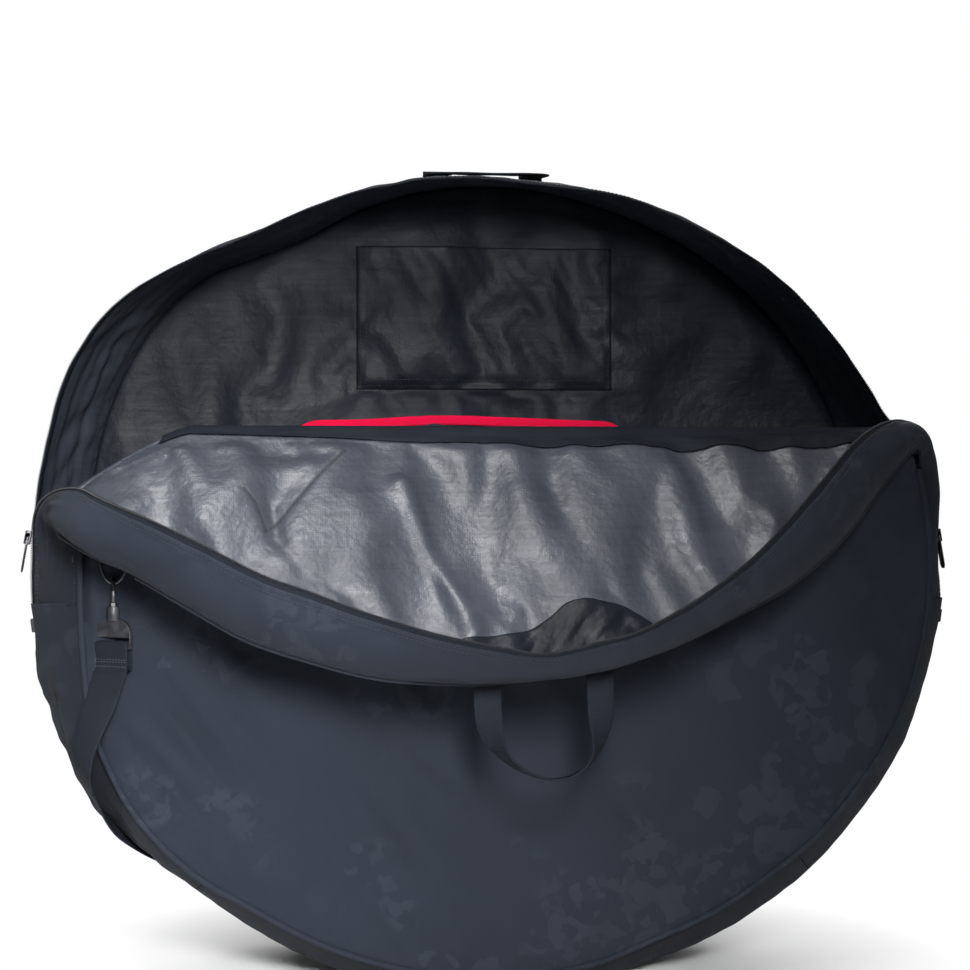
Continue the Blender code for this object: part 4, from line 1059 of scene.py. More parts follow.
def make_front_panel():
    """The padded lower half of the front, with its piping and seams."""
    grid = panel_below_fold(150, 320, 0.0004)
    places = grid[..., [0, 2]]
    x, z = places[..., 0], places[..., 1]
    inset = np.maximum(seam_radius(FRONT_SEAM, x, z) - np.hypot(x, z - CENTRE_Z), 0)
    below = np.maximum(FOLD.z - fold_drop(x) - z, 0)
    rim = (1 - np.exp(-inset / 0.030)) * (1 - np.exp(-below / 0.025))
    crown = 0.010 * np.sin(np.clip(below / 0.52, 0, 1) * math.pi)
    slack = capped(sampled(front_field, front_xs, front_zs, x, z), 0.008)
    # Slack that gathers under the strap and at the right-hand corner
    low_left = np.exp(-(((x + 0.31) / 0.10) ** 2) - (((z - 0.22) / 0.15) ** 2))
    right = np.exp(-(((x - 0.355) / 0.07) ** 2) - (((z - 0.40) / 0.09) ** 2))
    pulled = (0.0040 * low_left * rumple(places + places[..., ::-1] * (0.7, 0.0),
                                         (0.030, 0.16), 14.0)
              + 0.0045 * right * rumple(places + places[..., ::-1] * (-0.8, 0.0),
                                        (0.022, 0.12), 15.0))
    puckers = seam_puckers(places, inset, 16.0) * (1 - np.exp(-inset / 0.004))
    outside = grid.copy()
    outside[..., 1] = -OUTER_DEPTH - rim * (crown + 0.0035 + slack + pulled) - puckers
    # At the upper left the cloth dips beside its seam
    upper_left = smooth_share(-x, 0.34, 0.39) * smooth_share(z, 0.30, 0.36)
    outside[..., 1] += 0.0070 * np.exp(-(inset / 0.007) ** 2) * upper_left
    inside = grid.copy()
    inside[..., 1] = -LINING_DEPTH + rim * (0.004 - capped(0.7 * slack, 0.005))
    obj = wall("front_panel", outside, inside, [shell, dark_lining, shell], places)
    shade(obj, "bag_body", "shell", "front_outer", "front_foam", "front_lining")
    make_front_seam()


def make_front_seam():
    """Piping and stitches of the front panel's seam."""
    angles = np.radians(np.linspace(-190, 12.2, 420))
    seam = ring_points(ring_table(FRONT_SEAM, angles) + 0.0006, angles, FRONT_SEAM_Y - 0.0012)
    piping = cord("front_piping_cord", seam, PIPING_RADIUS + 0.0001, shell)
    shade(piping, "bag_body", "shell", "front_piping")
    lines = []
    for start, end in ((-186, -137), (-136, -45), (-44, 9)):
        angles = np.radians(np.linspace(start, end, 160))
        seam = ring_points(ring_table(FRONT_SEAM, angles) + 0.0022, angles,
                           FRONT_SEAM_Y + 0.0058)
        out = ring_points(np.ones(160), angles, 0) - (0, 0, CENTRE_Z)
        lines.append((seam, out))
    seams = repeat_along("front_seam_stitches", lines, "panel_seam", thread)
    shade(seams, "bag_body", "webbing")


def crease_line(count):
    """The crease from left to right, at the middle of its roll."""
    x = np.linspace(-0.418, 0.388, count)
    z = FOLD.z - fold_drop(x)
    return np.stack([x, np.full(count, FOLD.y), z], -1)


def gutter_line(count):
    """Where the flap's lining meets the band, from left to right."""
    rows = through(BAND, BAND_COUNT)
    spaced = through(rows[GUTTER_START:GUTTER_END, 0], count)
    middle = rise_and_fall(np.linspace(0, 1, count), 0.0, 0.17, 0.85, 1.0)[:, None]
    tucked = np.array([0, 0.0070, -0.0010])
    return spaced + middle * (FLAP_INNER * PADDING) + (1 - middle) * tucked


def flap_grid(columns, rows, offset):
    """Points of the flap from its crease down to the band's seam."""
    start = crease_line(columns) + np.array([0, -0.0052, 0.0036])
    low = gutter_line(columns)
    bowed = rise_and_fall(np.arange(columns) / columns, 0, 0.15, 0.86, 1)
    grid = []
    for share in np.linspace(0, 1, rows):
        bow = 0.010 * math.sin(math.pi * share) * bowed
        grid.append(start * (1 - share) + low * share + FLAP_INNER * (bow + offset)[:, None])
    return np.array(grid)


def lining_drop(points):
    """Places on the flap's lining: across, and up from the crease along the flap."""
    return points[..., 0], (points[..., 2] - FOLD.z) / FLAP_FALL


def settle_lining():
    """Slack in the flap's lining, held along its crease and along the band."""
    low_x, low_v = lining_drop(gutter_line(600))
    x, v = np.meshgrid(lining_xs, lining_vs)
    foot = np.interp(x, low_x, low_v)
    held = (v > -fold_drop(x) / FLAP_FALL - 0.005) | (v < foot + 0.006)
    held |= (x < low_x[0] + 0.004) | (x > low_x[-1] - 0.004)
    return settled(lining_xs, lining_vs, held, (0.026, 0.010), 8.0, LINING_SLANT, 25.0, 0.009)


def lining_relief(points):
    """Height of the flap's lining over its plain shape."""
    x, v = lining_drop(points)
    height = sampled(lining_field, lining_xs, lining_vs, x, v)
    places = np.stack([x, v], -1)
    for line, rise, width in LINING_FOLDS:
        height = height + rise * np.exp(-(line_distance(places, line) / width) ** 2)
    for line in LINING_CREASES:
        away = line_distance(places, line)
        height = height - 0.0009 * np.exp(-(away / 0.0021) ** 2)
    inside = rise_and_fall(x, -0.408, -0.350, 0.335, 0.385)
    return 0.0042 + capped(height, 0.010) * inside


def make_flap():
    """The flap's lining and padded panel, the facing along the crease, and a strip of painted
    shade at the lining's foot.
    """
    surface, normal = make_flap_lining()
    make_flap_panel()
    make_gutter_shade_strip(surface, normal)
    make_crease_facing(surface, normal)


def make_flap_lining():
    """Lining from inside the bag over the crease and down to the band.

    Gives back its face below the crease, and that face's normals."""
    top = crease_line(FLAP_COLUMNS)
    lead_in = []
    for drop in (0.06, 0.04, 0.02, 0.008):
        lead_in.append(top + np.array([0, FOLD_ROLL, -drop]))
    for turn in np.radians(np.linspace(0, 150, 12))[:-1]:
        lead_in.append(top + np.array([0, math.cos(turn), math.sin(turn)]) * FOLD_ROLL)
    lead = len(lead_in)
    plain = np.concatenate([np.array(lead_in), flap_grid(FLAP_COLUMNS, FLAP_ROWS, 0.0)])

    # The relief fades out at the crease, the band and both ends
    share = np.concatenate([np.zeros(lead), np.linspace(0, 1, FLAP_ROWS)])[:, None]
    ends = np.linspace(0, 1, FLAP_COLUMNS)[None, :]
    left = 1 - smooth_share(ends, 0.06, 0.30)
    rim = smooth_share(share - 0.10 * left, 0.015, 0.13) * (1 - smooth_share(share, 0.965, 1.0))
    rim = rim * rise_and_fall(ends, 0.0, 0.02, 0.96, 1.0)
    height = (lining_relief(plain) * rim)[..., None]
    normal = normals_of(plain)
    if normal[lead + FLAP_ROWS // 2, FLAP_COLUMNS // 2, 1] > 0:
        normal = -normal
    outside = plain + normal * (height + 0.001)
    obj = wall("flap_lining_cloth", outside, plain + normal * height, [lining] * 3,
               spread_of(plain))
    places = np.stack(lining_drop(plain), -1)
    # Painted shade: the crease attribute darkens the lining along its sharp creases
    away = np.minimum(*[line_distance(places, line) for line in LINING_CREASES])
    crease_shade_weight = np.exp(-(away / 0.0019) ** 2).ravel()
    painted_crease_shade = obj.data.attributes.new("crease", "FLOAT", "POINT")
    painted_crease_shade.data.foreach_set("value", np.concatenate([crease_shade_weight, crease_shade_weight]))
    bend(obj, "lining", "flap_lining")
    return outside[lead:], normal[lead:]


def make_flap_panel():
    """Padding and outer cloth, which go on from the front panel, under the crease."""
    top = crease_line(FLAP_COLUMNS)
    lead_in = []
    for y, drop in ((-.1262, .0110), (-.1260, .0060), (-.1258, .0025)):
        lead_in.append(top * (1, 0, 1) + (0, y, -drop))
    lead_in = np.array(lead_in)
    under = np.concatenate([lead_in, flap_grid(FLAP_COLUMNS, 60, -PADDING - 0.0006)[1:]])
    upper = np.concatenate([lead_in + (0, 0.0012, 0),
                            flap_grid(FLAP_COLUMNS, 60, -0.0079)[1:]])
    obj = wall("flap_panel", under, upper, [shell, dark_lining, shell], spread_of(under))
    bend(obj, "shell", "flap_outer", "flap_foam")


def make_crease_facing(surface, normal):
    """Matte facing along the crease, wider to the right."""
    top = crease_line(FLAP_COLUMNS)[FACING_COLUMN:]
    surface = surface[:, FACING_COLUMN:]
    normal = normal[:, FACING_COLUMN:]
    rows = []
    for turn in np.radians(np.linspace(20, 128, 9)):
        roll = np.array([0, math.cos(turn), math.sin(turn)]) * (FOLD_ROLL + 0.0018)
        rows.append(top + roll)
    run = np.linalg.norm(surface[-1] - surface[0], axis=1)
    widths = 0.0065 + 0.0215 * smooth_share(np.linspace(0, 1, len(top)), 0.0, 0.72)
    for step in np.linspace(0.12, 1, 16):
        row = widths * step / run * (FLAP_ROWS - 1)
        rows.append(on_surface(surface, row) + on_surface(normal, row) * 0.0012)
    facing = np.array(rows)
    upper = facing + normals_like(facing, normal[2]) * 0.0009
    obj = wall("crease_facing", upper, facing, [facing_cloth] * 3, spread_of(facing))
    bend(obj, "shell", "fold_tape")


def on_surface(surface, rows):
    """For each column of a grid, its point at a row between two."""
    columns = np.arange(surface.shape[1])
    low = np.clip(rows.astype(int), 0, len(surface) - 2)
    part = (rows - low)[:, None]
    return surface[low, columns] * (1 - part) + surface[low + 1, columns] * part


def make_gutter_shade_strip(surface, normal):
    """Gathered strip over the lining's lowest part by the flap's seam, near black: painted shade.
    """
    low_x = surface[-1, :, 0]
    wide = np.flatnonzero((low_x > FACING_TOP[0][0]) & (low_x < FACING_TOP[-1][0]))
    x, foot = lining_drop(surface[-1, wide])
    table = np.array(FACING_TOP)
    top_drop = hermite(table[:, 0], table[:, 1], x)[:, 0]
    top_share = np.clip(-top_drop / foot, 0.3, 0.995)
    rows = 40
    lower = []
    for share in np.linspace(0, 1, rows):
        row = (top_share + (1 - top_share) * share) * (len(surface) - 1)
        point = on_surface(surface[:, wide], row)
        out = on_surface(normal[:, wide], row)
        places = np.stack([x, np.full(len(x), share * 0.035)], -1)
        gathers = rumple(places, (0.0060, 0.030), 71.0)
        crush = rumple(places + places[:, ::-1] * (0.8, 0.3), (0.021, 0.016), 73.0)
        lift = (0.0012 + 0.0032 * math.sin(math.pi * share ** 0.7) * (0.6 + 0.8 * crush)
                + 0.0014 * gathers * share ** 3)
        lower.append(point + out * np.maximum(lift, 0.0006)[:, None])
    lower = np.array(lower)
    upper = lower + normals_like(lower, normal[-1, wide]) * 0.0008
    obj = wall("gutter_shade_strip", upper, lower, [gutter_painted_shade] * 3, spread_of(lower))
    bend(obj, "lining")


def normals_like(grid, guide):
    """A grid's normals, turned to the side that a row of directions faces."""
    normal = normals_of(grid)
    facing = (normal[-1] * guide).sum()
    return normal if facing > 0 else -normal


def make_band():
    """The gusset's strip in front of the zip, with its half of the zip and its seams."""
    outside = band_grid(0, CLOTH_END_SHARE, BAND_LANES, 0.0)
    inside = band_grid(0, CLOTH_END_SHARE, BAND_LANES, -0.0032)
    obj = wall("flap_band", outside, inside, [shell, dark_lining, gusset_shell_painted_shade],
               spread_of(outside))
    # Its ends take the gusset's cloth, the shell painted darker as shade, as far as the corners
    # it turns
    lanes, count = outside.shape[:2]
    kinds = np.empty(len(obj.data.polygons), np.int32)
    obj.data.polygons.foreach_get("material_index", kinds)
    column = np.arange((lanes - 1) * (count - 1)) % (count - 1)
    kinds[:len(column)][(column < LEFT_CORNER) | (column > count - RIGHT_CORNER)] = 2
    obj.data.polygons.foreach_set("material_index", kinds)
    bend(obj, "shell", "flap_strip", "gusset_front_strip_left", "gusset_front_strip_right")

    tape_out = band_grid(*TAPE_SHARES, 4, -0.0009)
    tape_in = band_grid(*TAPE_SHARES, 4, -0.0019)
    obj = wall("flap_zip_tape", tape_out, tape_in, [tape] * 3, spread_of(tape_out))
    bend(obj, "zip_tape", "zip_tape_flap", "zip_tape_front_left", "zip_tape_front_right")

    edge = band_grid(0.80, TEETH_SHARE, 6, -0.0002)
    out = normals_of(band_grid(0, 1, 12))[-2]
    teeth = repeat_along("flap_zip_teeth", [(edge[-1], out)], "zip_teeth", coil)
    bend(teeth, "hardware", "zip_teeth_flap", "zip_teeth_front_left", "zip_teeth_front_right")

    grid = band_grid(0, 1, 41, 0.0004)
    out = normals_of(grid)
    rows = [(grid[k], out[k]) for k in (33, 35, 3)]
    bend(repeat_along("flap_band_stitches", rows, "shell_seam", thread), "webbing")

    seam = through(BAND, BAND_COUNT)[PIPING_START:PIPING_END, 0] + (0, 0.003, -0.001)
    piping = cord("flap_piping_cord", seam, PIPING_RADIUS - 0.0010, shell)
    bend(piping, "shell", "flap_piping")


def make_hood_zip():
    """The hood's half of the zip, and its seams."""
    angles = np.radians(np.linspace(ZIP_RIGHT_END, ZIP_LEFT_END, 360))

    def outward(line):
        out = line - np.array([0, 0, CENTRE_Z])
        out[:, 1] = 0
        return out

    tape_out = hood_grid(angles, 0.93, 0.992, 4, 0.0002)
    tape_in = hood_grid(angles, 0.93, 0.992, 4, -0.0008)
    obj = wall("hood_zip_tape", tape_out, tape_in, [tape] * 3, spread_of(tape_out))
    shade(obj, "bag_body", "zip_tape", "zip_tape_back")
    edge = hood_grid(angles, 0.9, TEETH_SHARE, 6, 0.0004)[-1]
    teeth = repeat_along("hood_zip_teeth", [(edge, outward(edge))], "zip_teeth", coil)
    shade(teeth, "bag_body", "hardware", "zip_teeth_back")
    lines = []
    for row_share in (0.90, 0.925, 0.04):
        line = hood_grid(angles, row_share, row_share + 0.01, 2, CLOTH + 0.0003)[0]
        lines.append((line, outward(line)))
    seams = repeat_along("hood_stitches", lines, "shell_seam", thread)
    shade(seams, "bag_body", "webbing")


def divider_corner(middle_x, middle_z, start, end):
    """Places across and up round one of the divider's top corners."""
    places = []
    for angle in np.linspace(start, end, 9):
        places.append((middle_x + DIVIDER_CORNER * math.cos(angle),
                       middle_z + DIVIDER_CORNER * math.sin(angle)))
    return places


def drooped(points, top_z):
    """Points with the divider's top sunk as its padding lets it."""
    sink = hermite(DIVIDER_SINK[0], DIVIDER_SINK[1], points[..., 0].ravel())
    share = smooth_share(points[..., 2], 0.30, top_z)
    return points - share[..., None] * sink.reshape(share.shape)[..., None] * (0, 0, 1)


def make_divider():
    """Padded divider and its crimson binding."""
    low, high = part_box("divider")
    corner_z = high.z - DIVIDER_CORNER
    left = divider_corner(low.x + DIVIDER_CORNER, corner_z, math.pi, math.pi / 2)
    right = divider_corner(high.x - DIVIDER_CORNER, corner_z, math.pi / 2, 0)
    make_divider_pad(low, high, left + right)
    make_divider_binding(low, high, left, right)


def make_divider_pad(low, high, top_edge):
    """The divider's quilted body, thinner towards its edges."""
    columns = 150
    rows = 120
    xs = np.linspace(low.x, high.x, columns)
    tops = np.interp(xs, [p[0] for p in top_edge], [p[1] for p in top_edge])
    feet = CENTRE_Z - np.sqrt(np.maximum(DIVIDER_ARC ** 2 - xs ** 2, 0))
    feet = np.maximum(feet, low.z)
    grid = []
    for share in np.linspace(0, 1, rows):
        grid.append(np.stack([xs, np.zeros_like(xs), feet + (tops - feet) * share], -1))
    grid = np.array(grid)
    share_x = np.linspace(0, 1, columns)[None, :]
    share_z = np.linspace(0, 1, rows)[:, None]
    crown = (np.clip(share_x * (1 - share_x) * 4, 0, 1) ** 0.35
             * np.clip(share_z * (1 - share_z) * 4, 0, 1) ** 0.35)
    soft = 0.0022 * rumple(grid[..., [0, 2]], (0.09, 0.12), 41.0) * crown
    thick = 0.0018 + ((high.y - low.y) / 2 - 0.0010) * crown
    grid = drooped(grid, high.z)
    front = grid.copy()
    front[..., 1] = soft - thick
    rear = grid.copy()
    rear[..., 1] = soft + thick
    obj = wall("divider_pad", front, rear, [shell] * 3, grid[..., [0, 2]])
    shade(obj, "divider", "shell", "divider")


def make_divider_binding(low, high, left, right):
    """A folded tape over the divider's sides and top."""
    foot_z = 0.222
    corner_z = high.z - DIVIDER_CORNER
    run = [(low.x, z) for z in np.linspace(foot_z, corner_z, 22)[:-1]]
    run += left
    run += [(x, high.z) for x in np.linspace(low.x + DIVIDER_CORNER,
                                             high.x - DIVIDER_CORNER, 30)[1:-1]]
    run += right
    run += [(high.x, z) for z in np.linspace(corner_z, foot_z, 22)[1:]]
    run = np.array(run)
    wavy = (0.0010 * np.sin(np.linspace(0, 31, len(run)))
            + 0.0006 * np.sin(np.linspace(0, 83, len(run))))
    line = through(drooped(np.stack([run[:, 0], wavy, run[:, 1]], -1), high.z), 420)
    side = np.array([0, 1.0, 0])
    outward = np.cross(unit(np.gradient(line, axis=0)), -side)
    if outward[len(line) // 2, 2] < 0:
        outward = -outward
    # Section of the folded tape: its outer face and its inner face, depth and half width
    lap = 0.0086
    face = [(-lap, 0.0040), (-lap + 0.0003, 0.0044), (-0.0060, 0.0045), (-0.0030, 0.0045),
            (-0.0006, 0.0044), (0.0004, 0.0041), (0.0009, 0.0033), (0.0011, 0.0016)]
    inner = [(0.0003, 0.0016), (-0.0004, 0.0036), (-0.0030, 0.0038), (-lap, 0.0037)]
    section = (face + [(depth, -y) for depth, y in reversed(face)]
               + [(depth, -y) for depth, y in reversed(inner)] + inner)
    rings = np.stack([line + outward * depth + side * y for depth, y in section], 1)
    around = 0.0022 * np.arange(len(section))
    spread = np.stack(np.broadcast_arrays(around[None, :], distances_along(line)[:, None]), -1)
    obj = sections("divider_binding_tape", rings, binding, spread=spread.reshape(-1, 2))
    shade(obj, "divider", "binding", "divider_binding")
    lines = []
    for sign in (-1, 1):
        lines.append((line + outward * (-lap + 0.0018) + side * sign * 0.0047,
                      np.tile(side * sign, (len(line), 1))))
    seams = repeat_along("binding_stitches", lines, "binding_seam", red_thread)
    shade(seams, "divider", "binding")


def make_pocket():
    """Flat pocket sewn to the back lining, open at its top."""
    low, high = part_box("back_pocket")
    columns, rows = 90, 60
    xs = np.linspace(low.x, high.x, columns)
    zs = np.linspace(low.z, high.z, rows)
    grid = np.stack(np.broadcast_arrays(xs[None, :], 0.0, zs[:, None]), -1).copy()
    share_x = np.linspace(0, 1, columns)[None, :]
    share_z = np.linspace(0, 1, rows)[:, None]
    side = np.clip(share_x * (1 - share_x) * 4, 0, 1) ** 0.4
    foot = smooth_share(share_z, 0, 0.12)
    soft = rumple(grid[..., [0, 2]] + grid[..., [2, 0]] * (0.5, 0), (0.030, 0.090), 51.0)
    under = back_lining_depth(grid[..., 0], grid[..., 2])
    face = under - 0.0012 - (0.0030 + 0.0026 * soft) * side * foot
    outside = grid.copy()
    outside[..., 1] = face
    inside = grid.copy()
    inside[..., 1] = face + 0.0011
    obj = wall("pocket_cloth", outside, inside, [back_lining_painted_shade] * 3, grid[..., [0, 2]])
    shade(obj, "bag_body", "lining", "back_pocket")
    lines = []
    for inset in (0.004, 0.010):
        corners = [(low.x + inset, high.z - 0.002), (low.x + inset, low.z + inset),
                   (high.x - inset, low.z + inset), (high.x - inset, high.z - 0.002)]
        for (x0, z0), (x1, z1) in zip(corners[:-1], corners[1:]):
            line = np.stack([np.linspace(x0, x1, 60), np.zeros(60), np.linspace(z0, z1, 60)], -1)
            column = (line[:, 0] - low.x) / (high.x - low.x) * (columns - 1)
            row = (line[:, 2] - low.z) / (high.z - low.z) * (rows - 1)
            line[:, 1] = face[np.rint(row).astype(int), np.rint(column).astype(int)] - 0.0005
            lines.append((line, np.tile((0, -1.0, 0), (60, 1))))
    seams = repeat_along("pocket_stitches", lines, "pocket_seam", thread)
    shade(seams, "bag_body", "webbing")


# Shoulder strap: places by the left gusset and the way the outer face looks
STRAP_LEFT = [
    ((-.3832, -.1385, .2990), (-.62, -.78, 0)), ((-.3885, -.1410, .2800), (-.66, -.75, 0)),
    ((-.3955, -.1430, .2620), (-.72, -.69, 0)), ((-.4025, -.1435, .2440), (-.80, -.60, 0)),
    ((-.4078, -.1410, .2260), (-.84, -.50, -.10)), ((-.4080, -.1315, .2070), (-.86, -.35, -.25)),
    ((-.4020, -.1150, .1890), (-.86, -.22, -.40)),
]
# The rest goes round the bag: degrees, radius, place towards the back
STRAP_ROUND = [
    (213.0, .4590, -.0860), (216.8, .4540, -.0500), (220.8, .4465, -.0040),
    (224.8, .4335, .0450), (228.6, .4215, .0950), (233.0, .4100, .1330),
    (239.0, .3880, .1490), (245.0, .3650, .1508), (254.0, .3390, .1508),
    (264.0, .3276, .1508), (276.0, .3256, .1508), (288.0, .3317, .1508),
    (299.0, .3457, .1508), (309.5, .3650, .1508), (318.5, .3870, .1490),
    (325.5, .4050, .1450),
]
# Loop of webbing round a yoke's bar: out of the yoke, up from the bar's top, and its face
STRAP_LOOP = [
    (-.0037, -.0250, (-1, 0)), (-.0037, -.0100, (-1, 0)), (-.0036, -.0020, (-1, 0)),
    (-.0027, .0006, (-.7, .7)), (.0000, .0015, (0, 1)), (.0027, .0006, (.7, .7)),
    (.0036, -.0020, (1, 0)), (.0037, -.0100, (1, 0)), (.0037, -.0250, (1, 0)),
]
STRAP_WIDTH = 0.038
STRAP_WEB = 0.0020
# Yokes: how far their bar lies above their foot, the left one's turn about its hook, and
# for each its hook's axis, across and towards the back, and the way its strap faces
YOKE_BAR = 0.0050
YOKE_TURN = math.radians(-37)
YOKE_LEFT = ("strap_yoke_left", (-0.379, -0.13365),
             np.array([math.sin(YOKE_TURN), -math.cos(YOKE_TURN), 0]))
YOKE_RIGHT = ("strap_yoke_right", (0.379, 0.13365), np.array([0, 1.0, 0]))
HANDLE_WIDTH = 0.025
HANDLE_WEB = 0.0022
# Front handle: places below its pivot and the way its outer face looks
FRONT_HANDLE = [
    ((-.0420, -.2592, .3250), (0, -1, 0)), ((-.0424, -.2594, .3000), (0, -1, 0)),
    ((-.0420, -.2600, .2740), (-.18, -1, 0)), ((-.0385, -.2605, .2530), (-.60, -.78, -.20)),
    ((-.0290, -.2610, .2350), (-.68, -.34, -.62)), ((-.0100, -.2610, .2195), (-.36, -.14, -.92)),
    ((.0140, -.2610, .2115), (.02, -.10, -1)), ((.0360, -.2610, .2150), (.46, -.12, -.88)),
    ((.0530, -.2605, .2290), (.82, -.28, -.5)), ((.0595, -.2600, .2480), (.74, -.66, -.15)),
    ((.0605, -.2598, .2720), (.22, -.97, 0)), ((.0602, -.2594, .3000), (0, -1, 0)),
    ((.0600, -.2592, .3250), (0, -1, 0)),
]
FRONT_HANDLE_SHIFT = 0.009
# Back handle: across, towards the front from its pivot, up, and its outer face
BACK_PIVOT_Y = 0.12935
BACK_PIVOT_DROP = 0.0040
BACK_HANDLE_SLOPE = 0.110
BACK_HANDLE = [
    (-.0510, .0000, .0000, (0, .3, 1)), (-.0512, -.0200, .0006, (0, .1, 1)),
    (-.0512, -.0500, .0012, (0, .1, 1)), (-.0460, -.0780, .0014, (-.1, .1, 1)),
    (-.0290, -.0960, .0012, (-.1, 0, 1)), (.0000, -.1035, .0010, (0, -.1, 1)),
    (.0290, -.0960, .0012, (.1, 0, 1)), (.0460, -.0780, .0014, (.1, .1, 1)),
    (.0512, -.0500, .0012, (0, .1, 1)), (.0512, -.0200, .0006, (0, .1, 1)),
    (.0510, .0000, .0000, (0, .3, 1)),
]


def yoke_loop(node_name, hook, out):
    """Rows of the webbing's loop round a yoke's bar."""
    bar_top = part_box(node_name)[0].z + YOKE_BAR
    found = []
    for forward, up, (level, rise) in STRAP_LOOP:
        place = np.array([hook[0], hook[1], bar_top + up]) + out * forward
        found.append((place, out * level + np.array([0, 0, rise])))
    return found


def strap_rows():
    """Places along the strap's middle and its outer face's directions, left to right."""
    rows = yoke_loop(*YOKE_LEFT)
    rows += [(np.array(place), np.array(face)) for place, face in STRAP_LEFT]
    for degrees, radius, y in STRAP_ROUND:
        turn = math.radians(degrees)
        radial = np.array([math.cos(turn), 0, math.sin(turn)])
        back = float(smooth_share(y, 0.060, 0.142))
        face = radial * (1 - back) + np.array([0, 1.0, 0]) * back
        rows.append((radial * radius + np.array([0, y, CENTRE_Z]), face))
    end = yoke_loop(*YOKE_RIGHT)[::-1]
    last = end[0][0]
    for drop in (0.096, 0.070, 0.040, 0.016):
        rows.append((last - np.array([0, 0, drop]), np.array([0, 1.0, 0])))
    return np.array(rows + end)


def webbing_run(rows, count):
    """Evenly spread places and unit faces along rows of places and faces."""
    found = through(rows, count)
    return found[:, 0], unit(found[:, 1])


def cross_seam(middle, out, across, along, half_width, half_length):
    """Box seam with a cross in it, on webbing's face."""
    corners = [(-1, -1), (1, -1), (1, 1), (-1, 1), (-1, -1), (1, 1)]
    runs = list(zip(corners[:-1], corners[1:])) + [((-1, 1), (1, -1))]
    lines = []
    for (a0, b0), (a1, b1) in runs:
        shares = np.linspace(0, 1, 24)[:, None]
        start = across * a0 * half_width + along * b0 * half_length
        end = across * a1 * half_width + along * b1 * half_length
        lines.append((middle + start * (1 - shares) + end * shares, np.tile(out, (24, 1))))
    return lines


def make_strap():
    """The shoulder strap and the seams of its loops."""
    places, faces = webbing_run(strap_rows(), 760)
    obj = webbing_strip("shoulder_strap_webbing", places, faces, STRAP_WIDTH, STRAP_WEB,
                        webbing)
    shade(obj, "bag_body", "webbing", "shoulder_strap")
    lines = []
    for node_name, hook, out in (YOKE_LEFT, YOKE_RIGHT):
        bar_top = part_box(node_name)[0].z + YOKE_BAR
        across = np.cross(np.array([0, 0, 1.0]), out)
        for drop in (0.0150, 0.0172, 0.0215):
            middle = np.array([hook[0], hook[1], bar_top - drop]) + out * 0.0049
            shares = np.linspace(-0.9, 0.9, 40)[:, None]
            lines.append((middle + across * shares * STRAP_WIDTH / 2, np.tile(out, (40, 1))))
    seams = repeat_along("strap_stitches", lines, "strap_seam", pale_thread)
    shade(seams, "bag_body", "webbing")


def make_handles():
    """The two carry handles, one hanging from the flap and one lying over the back."""
    pivot_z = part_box("handle_patch_back_left")[1].z - BACK_PIVOT_DROP
    rows = []
    for x, y, z, face in BACK_HANDLE:
        rows.append(((x, BACK_PIVOT_Y + y, pivot_z + z + BACK_HANDLE_SLOPE * y), face))
    for which, handle_rows in (("front", FRONT_HANDLE), ("back", rows)):
        places, faces = webbing_run(handle_rows, 180)
        obj = webbing_strip(which + "_handle_webbing", places, faces, HANDLE_WIDTH,
                            HANDLE_WEB, webbing)
        shade(obj, "handle_" + which, "webbing", "handle_" + which)
    make_patches("front", "flap", -FLAP_INNER, FLAP_DOWN, FRONT_HANDLE_SHIFT)
    make_patches("back", "bag_body", np.array([0, 1.0, 0]), np.array([0, 0, -1.0]), 0.0)


def make_patches(which, body, out, along, shift):
    """Sewn ends of a handle, each with a boxed cross seam."""
    lines = []
    across = np.array([1.0, 0, 0])
    for side in ("left", "right"):
        name = "handle_patch_%s_%s" % (which, side)
        low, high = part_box(name)
        middle = np.array((low + high) / 2) + across * shift
        run = np.linspace(-0.0172, 0.0172, 14)[:, None]
        obj = webbing_strip(name + "_webbing", middle + along * run, np.tile(out, (14, 1)),
                            HANDLE_WIDTH, 0.0025, webbing)
        shade(obj, body, "webbing", name)
        lines += cross_seam(middle + out * 0.0015, out, across, along, 0.0098, 0.0135)
    seams = repeat_along("handle_stitches_" + which, lines, "handle_seam", pale_thread)
    shade(seams, body, "webbing")


def softened(name, body, finish, width, turn=None, shift=(0, 0, 0)):
    """A copy of one of the frame's pieces with its corners rounded."""
    slots = {row["node"]: row["material_slot"] for row in frame["record"]["subparts"]}
    mesh = nodes[name].data.copy()
    shell_mesh = bmesh.new()
    shell_mesh.from_mesh(mesh)
    bmesh.ops.remove_doubles(shell_mesh, verts=shell_mesh.verts, dist=1e-6)
    bmesh.ops.dissolve_limit(shell_mesh, angle_limit=math.radians(1), verts=shell_mesh.verts,
                             edges=shell_mesh.edges)
    sharp = []
    for edge in shell_mesh.edges:
        if edge.is_manifold and edge.calc_face_angle(0) > math.radians(48):
            sharp.append(edge)
    bmesh.ops.bevel(shell_mesh, geom=sharp, offset=width, segments=2, profile=0.5,
                    affect="EDGES", clamp_overlap=True)
    if turn is not None:
        place, angle = turn
        for vert in shell_mesh.verts:
            x, y = vert.co.x - place[0], vert.co.y - place[1]
            vert.co.x = place[0] + x * math.cos(angle) - y * math.sin(angle)
            vert.co.y = place[1] + x * math.sin(angle) + y * math.cos(angle)
    bmesh.ops.translate(shell_mesh, verts=shell_mesh.verts, vec=shift)
    shell_mesh.to_mesh(mesh)
    shell_mesh.free()
    mesh.materials.clear()
    mesh.materials.append(finish)
    mesh.polygons.foreach_set("material_index", np.zeros(len(mesh.polygons), np.int32))
    mesh.polygons.foreach_set("use_smooth", np.ones(len(mesh.polygons), bool))
    mesh.set_sharp_from_angle(angle=math.radians(38))
    obj = bpy.data.objects.new(name + "_rounded", mesh)
    bpy.context.scene.collection.objects.link(obj)
    return shade(obj, body, slots[name], name)


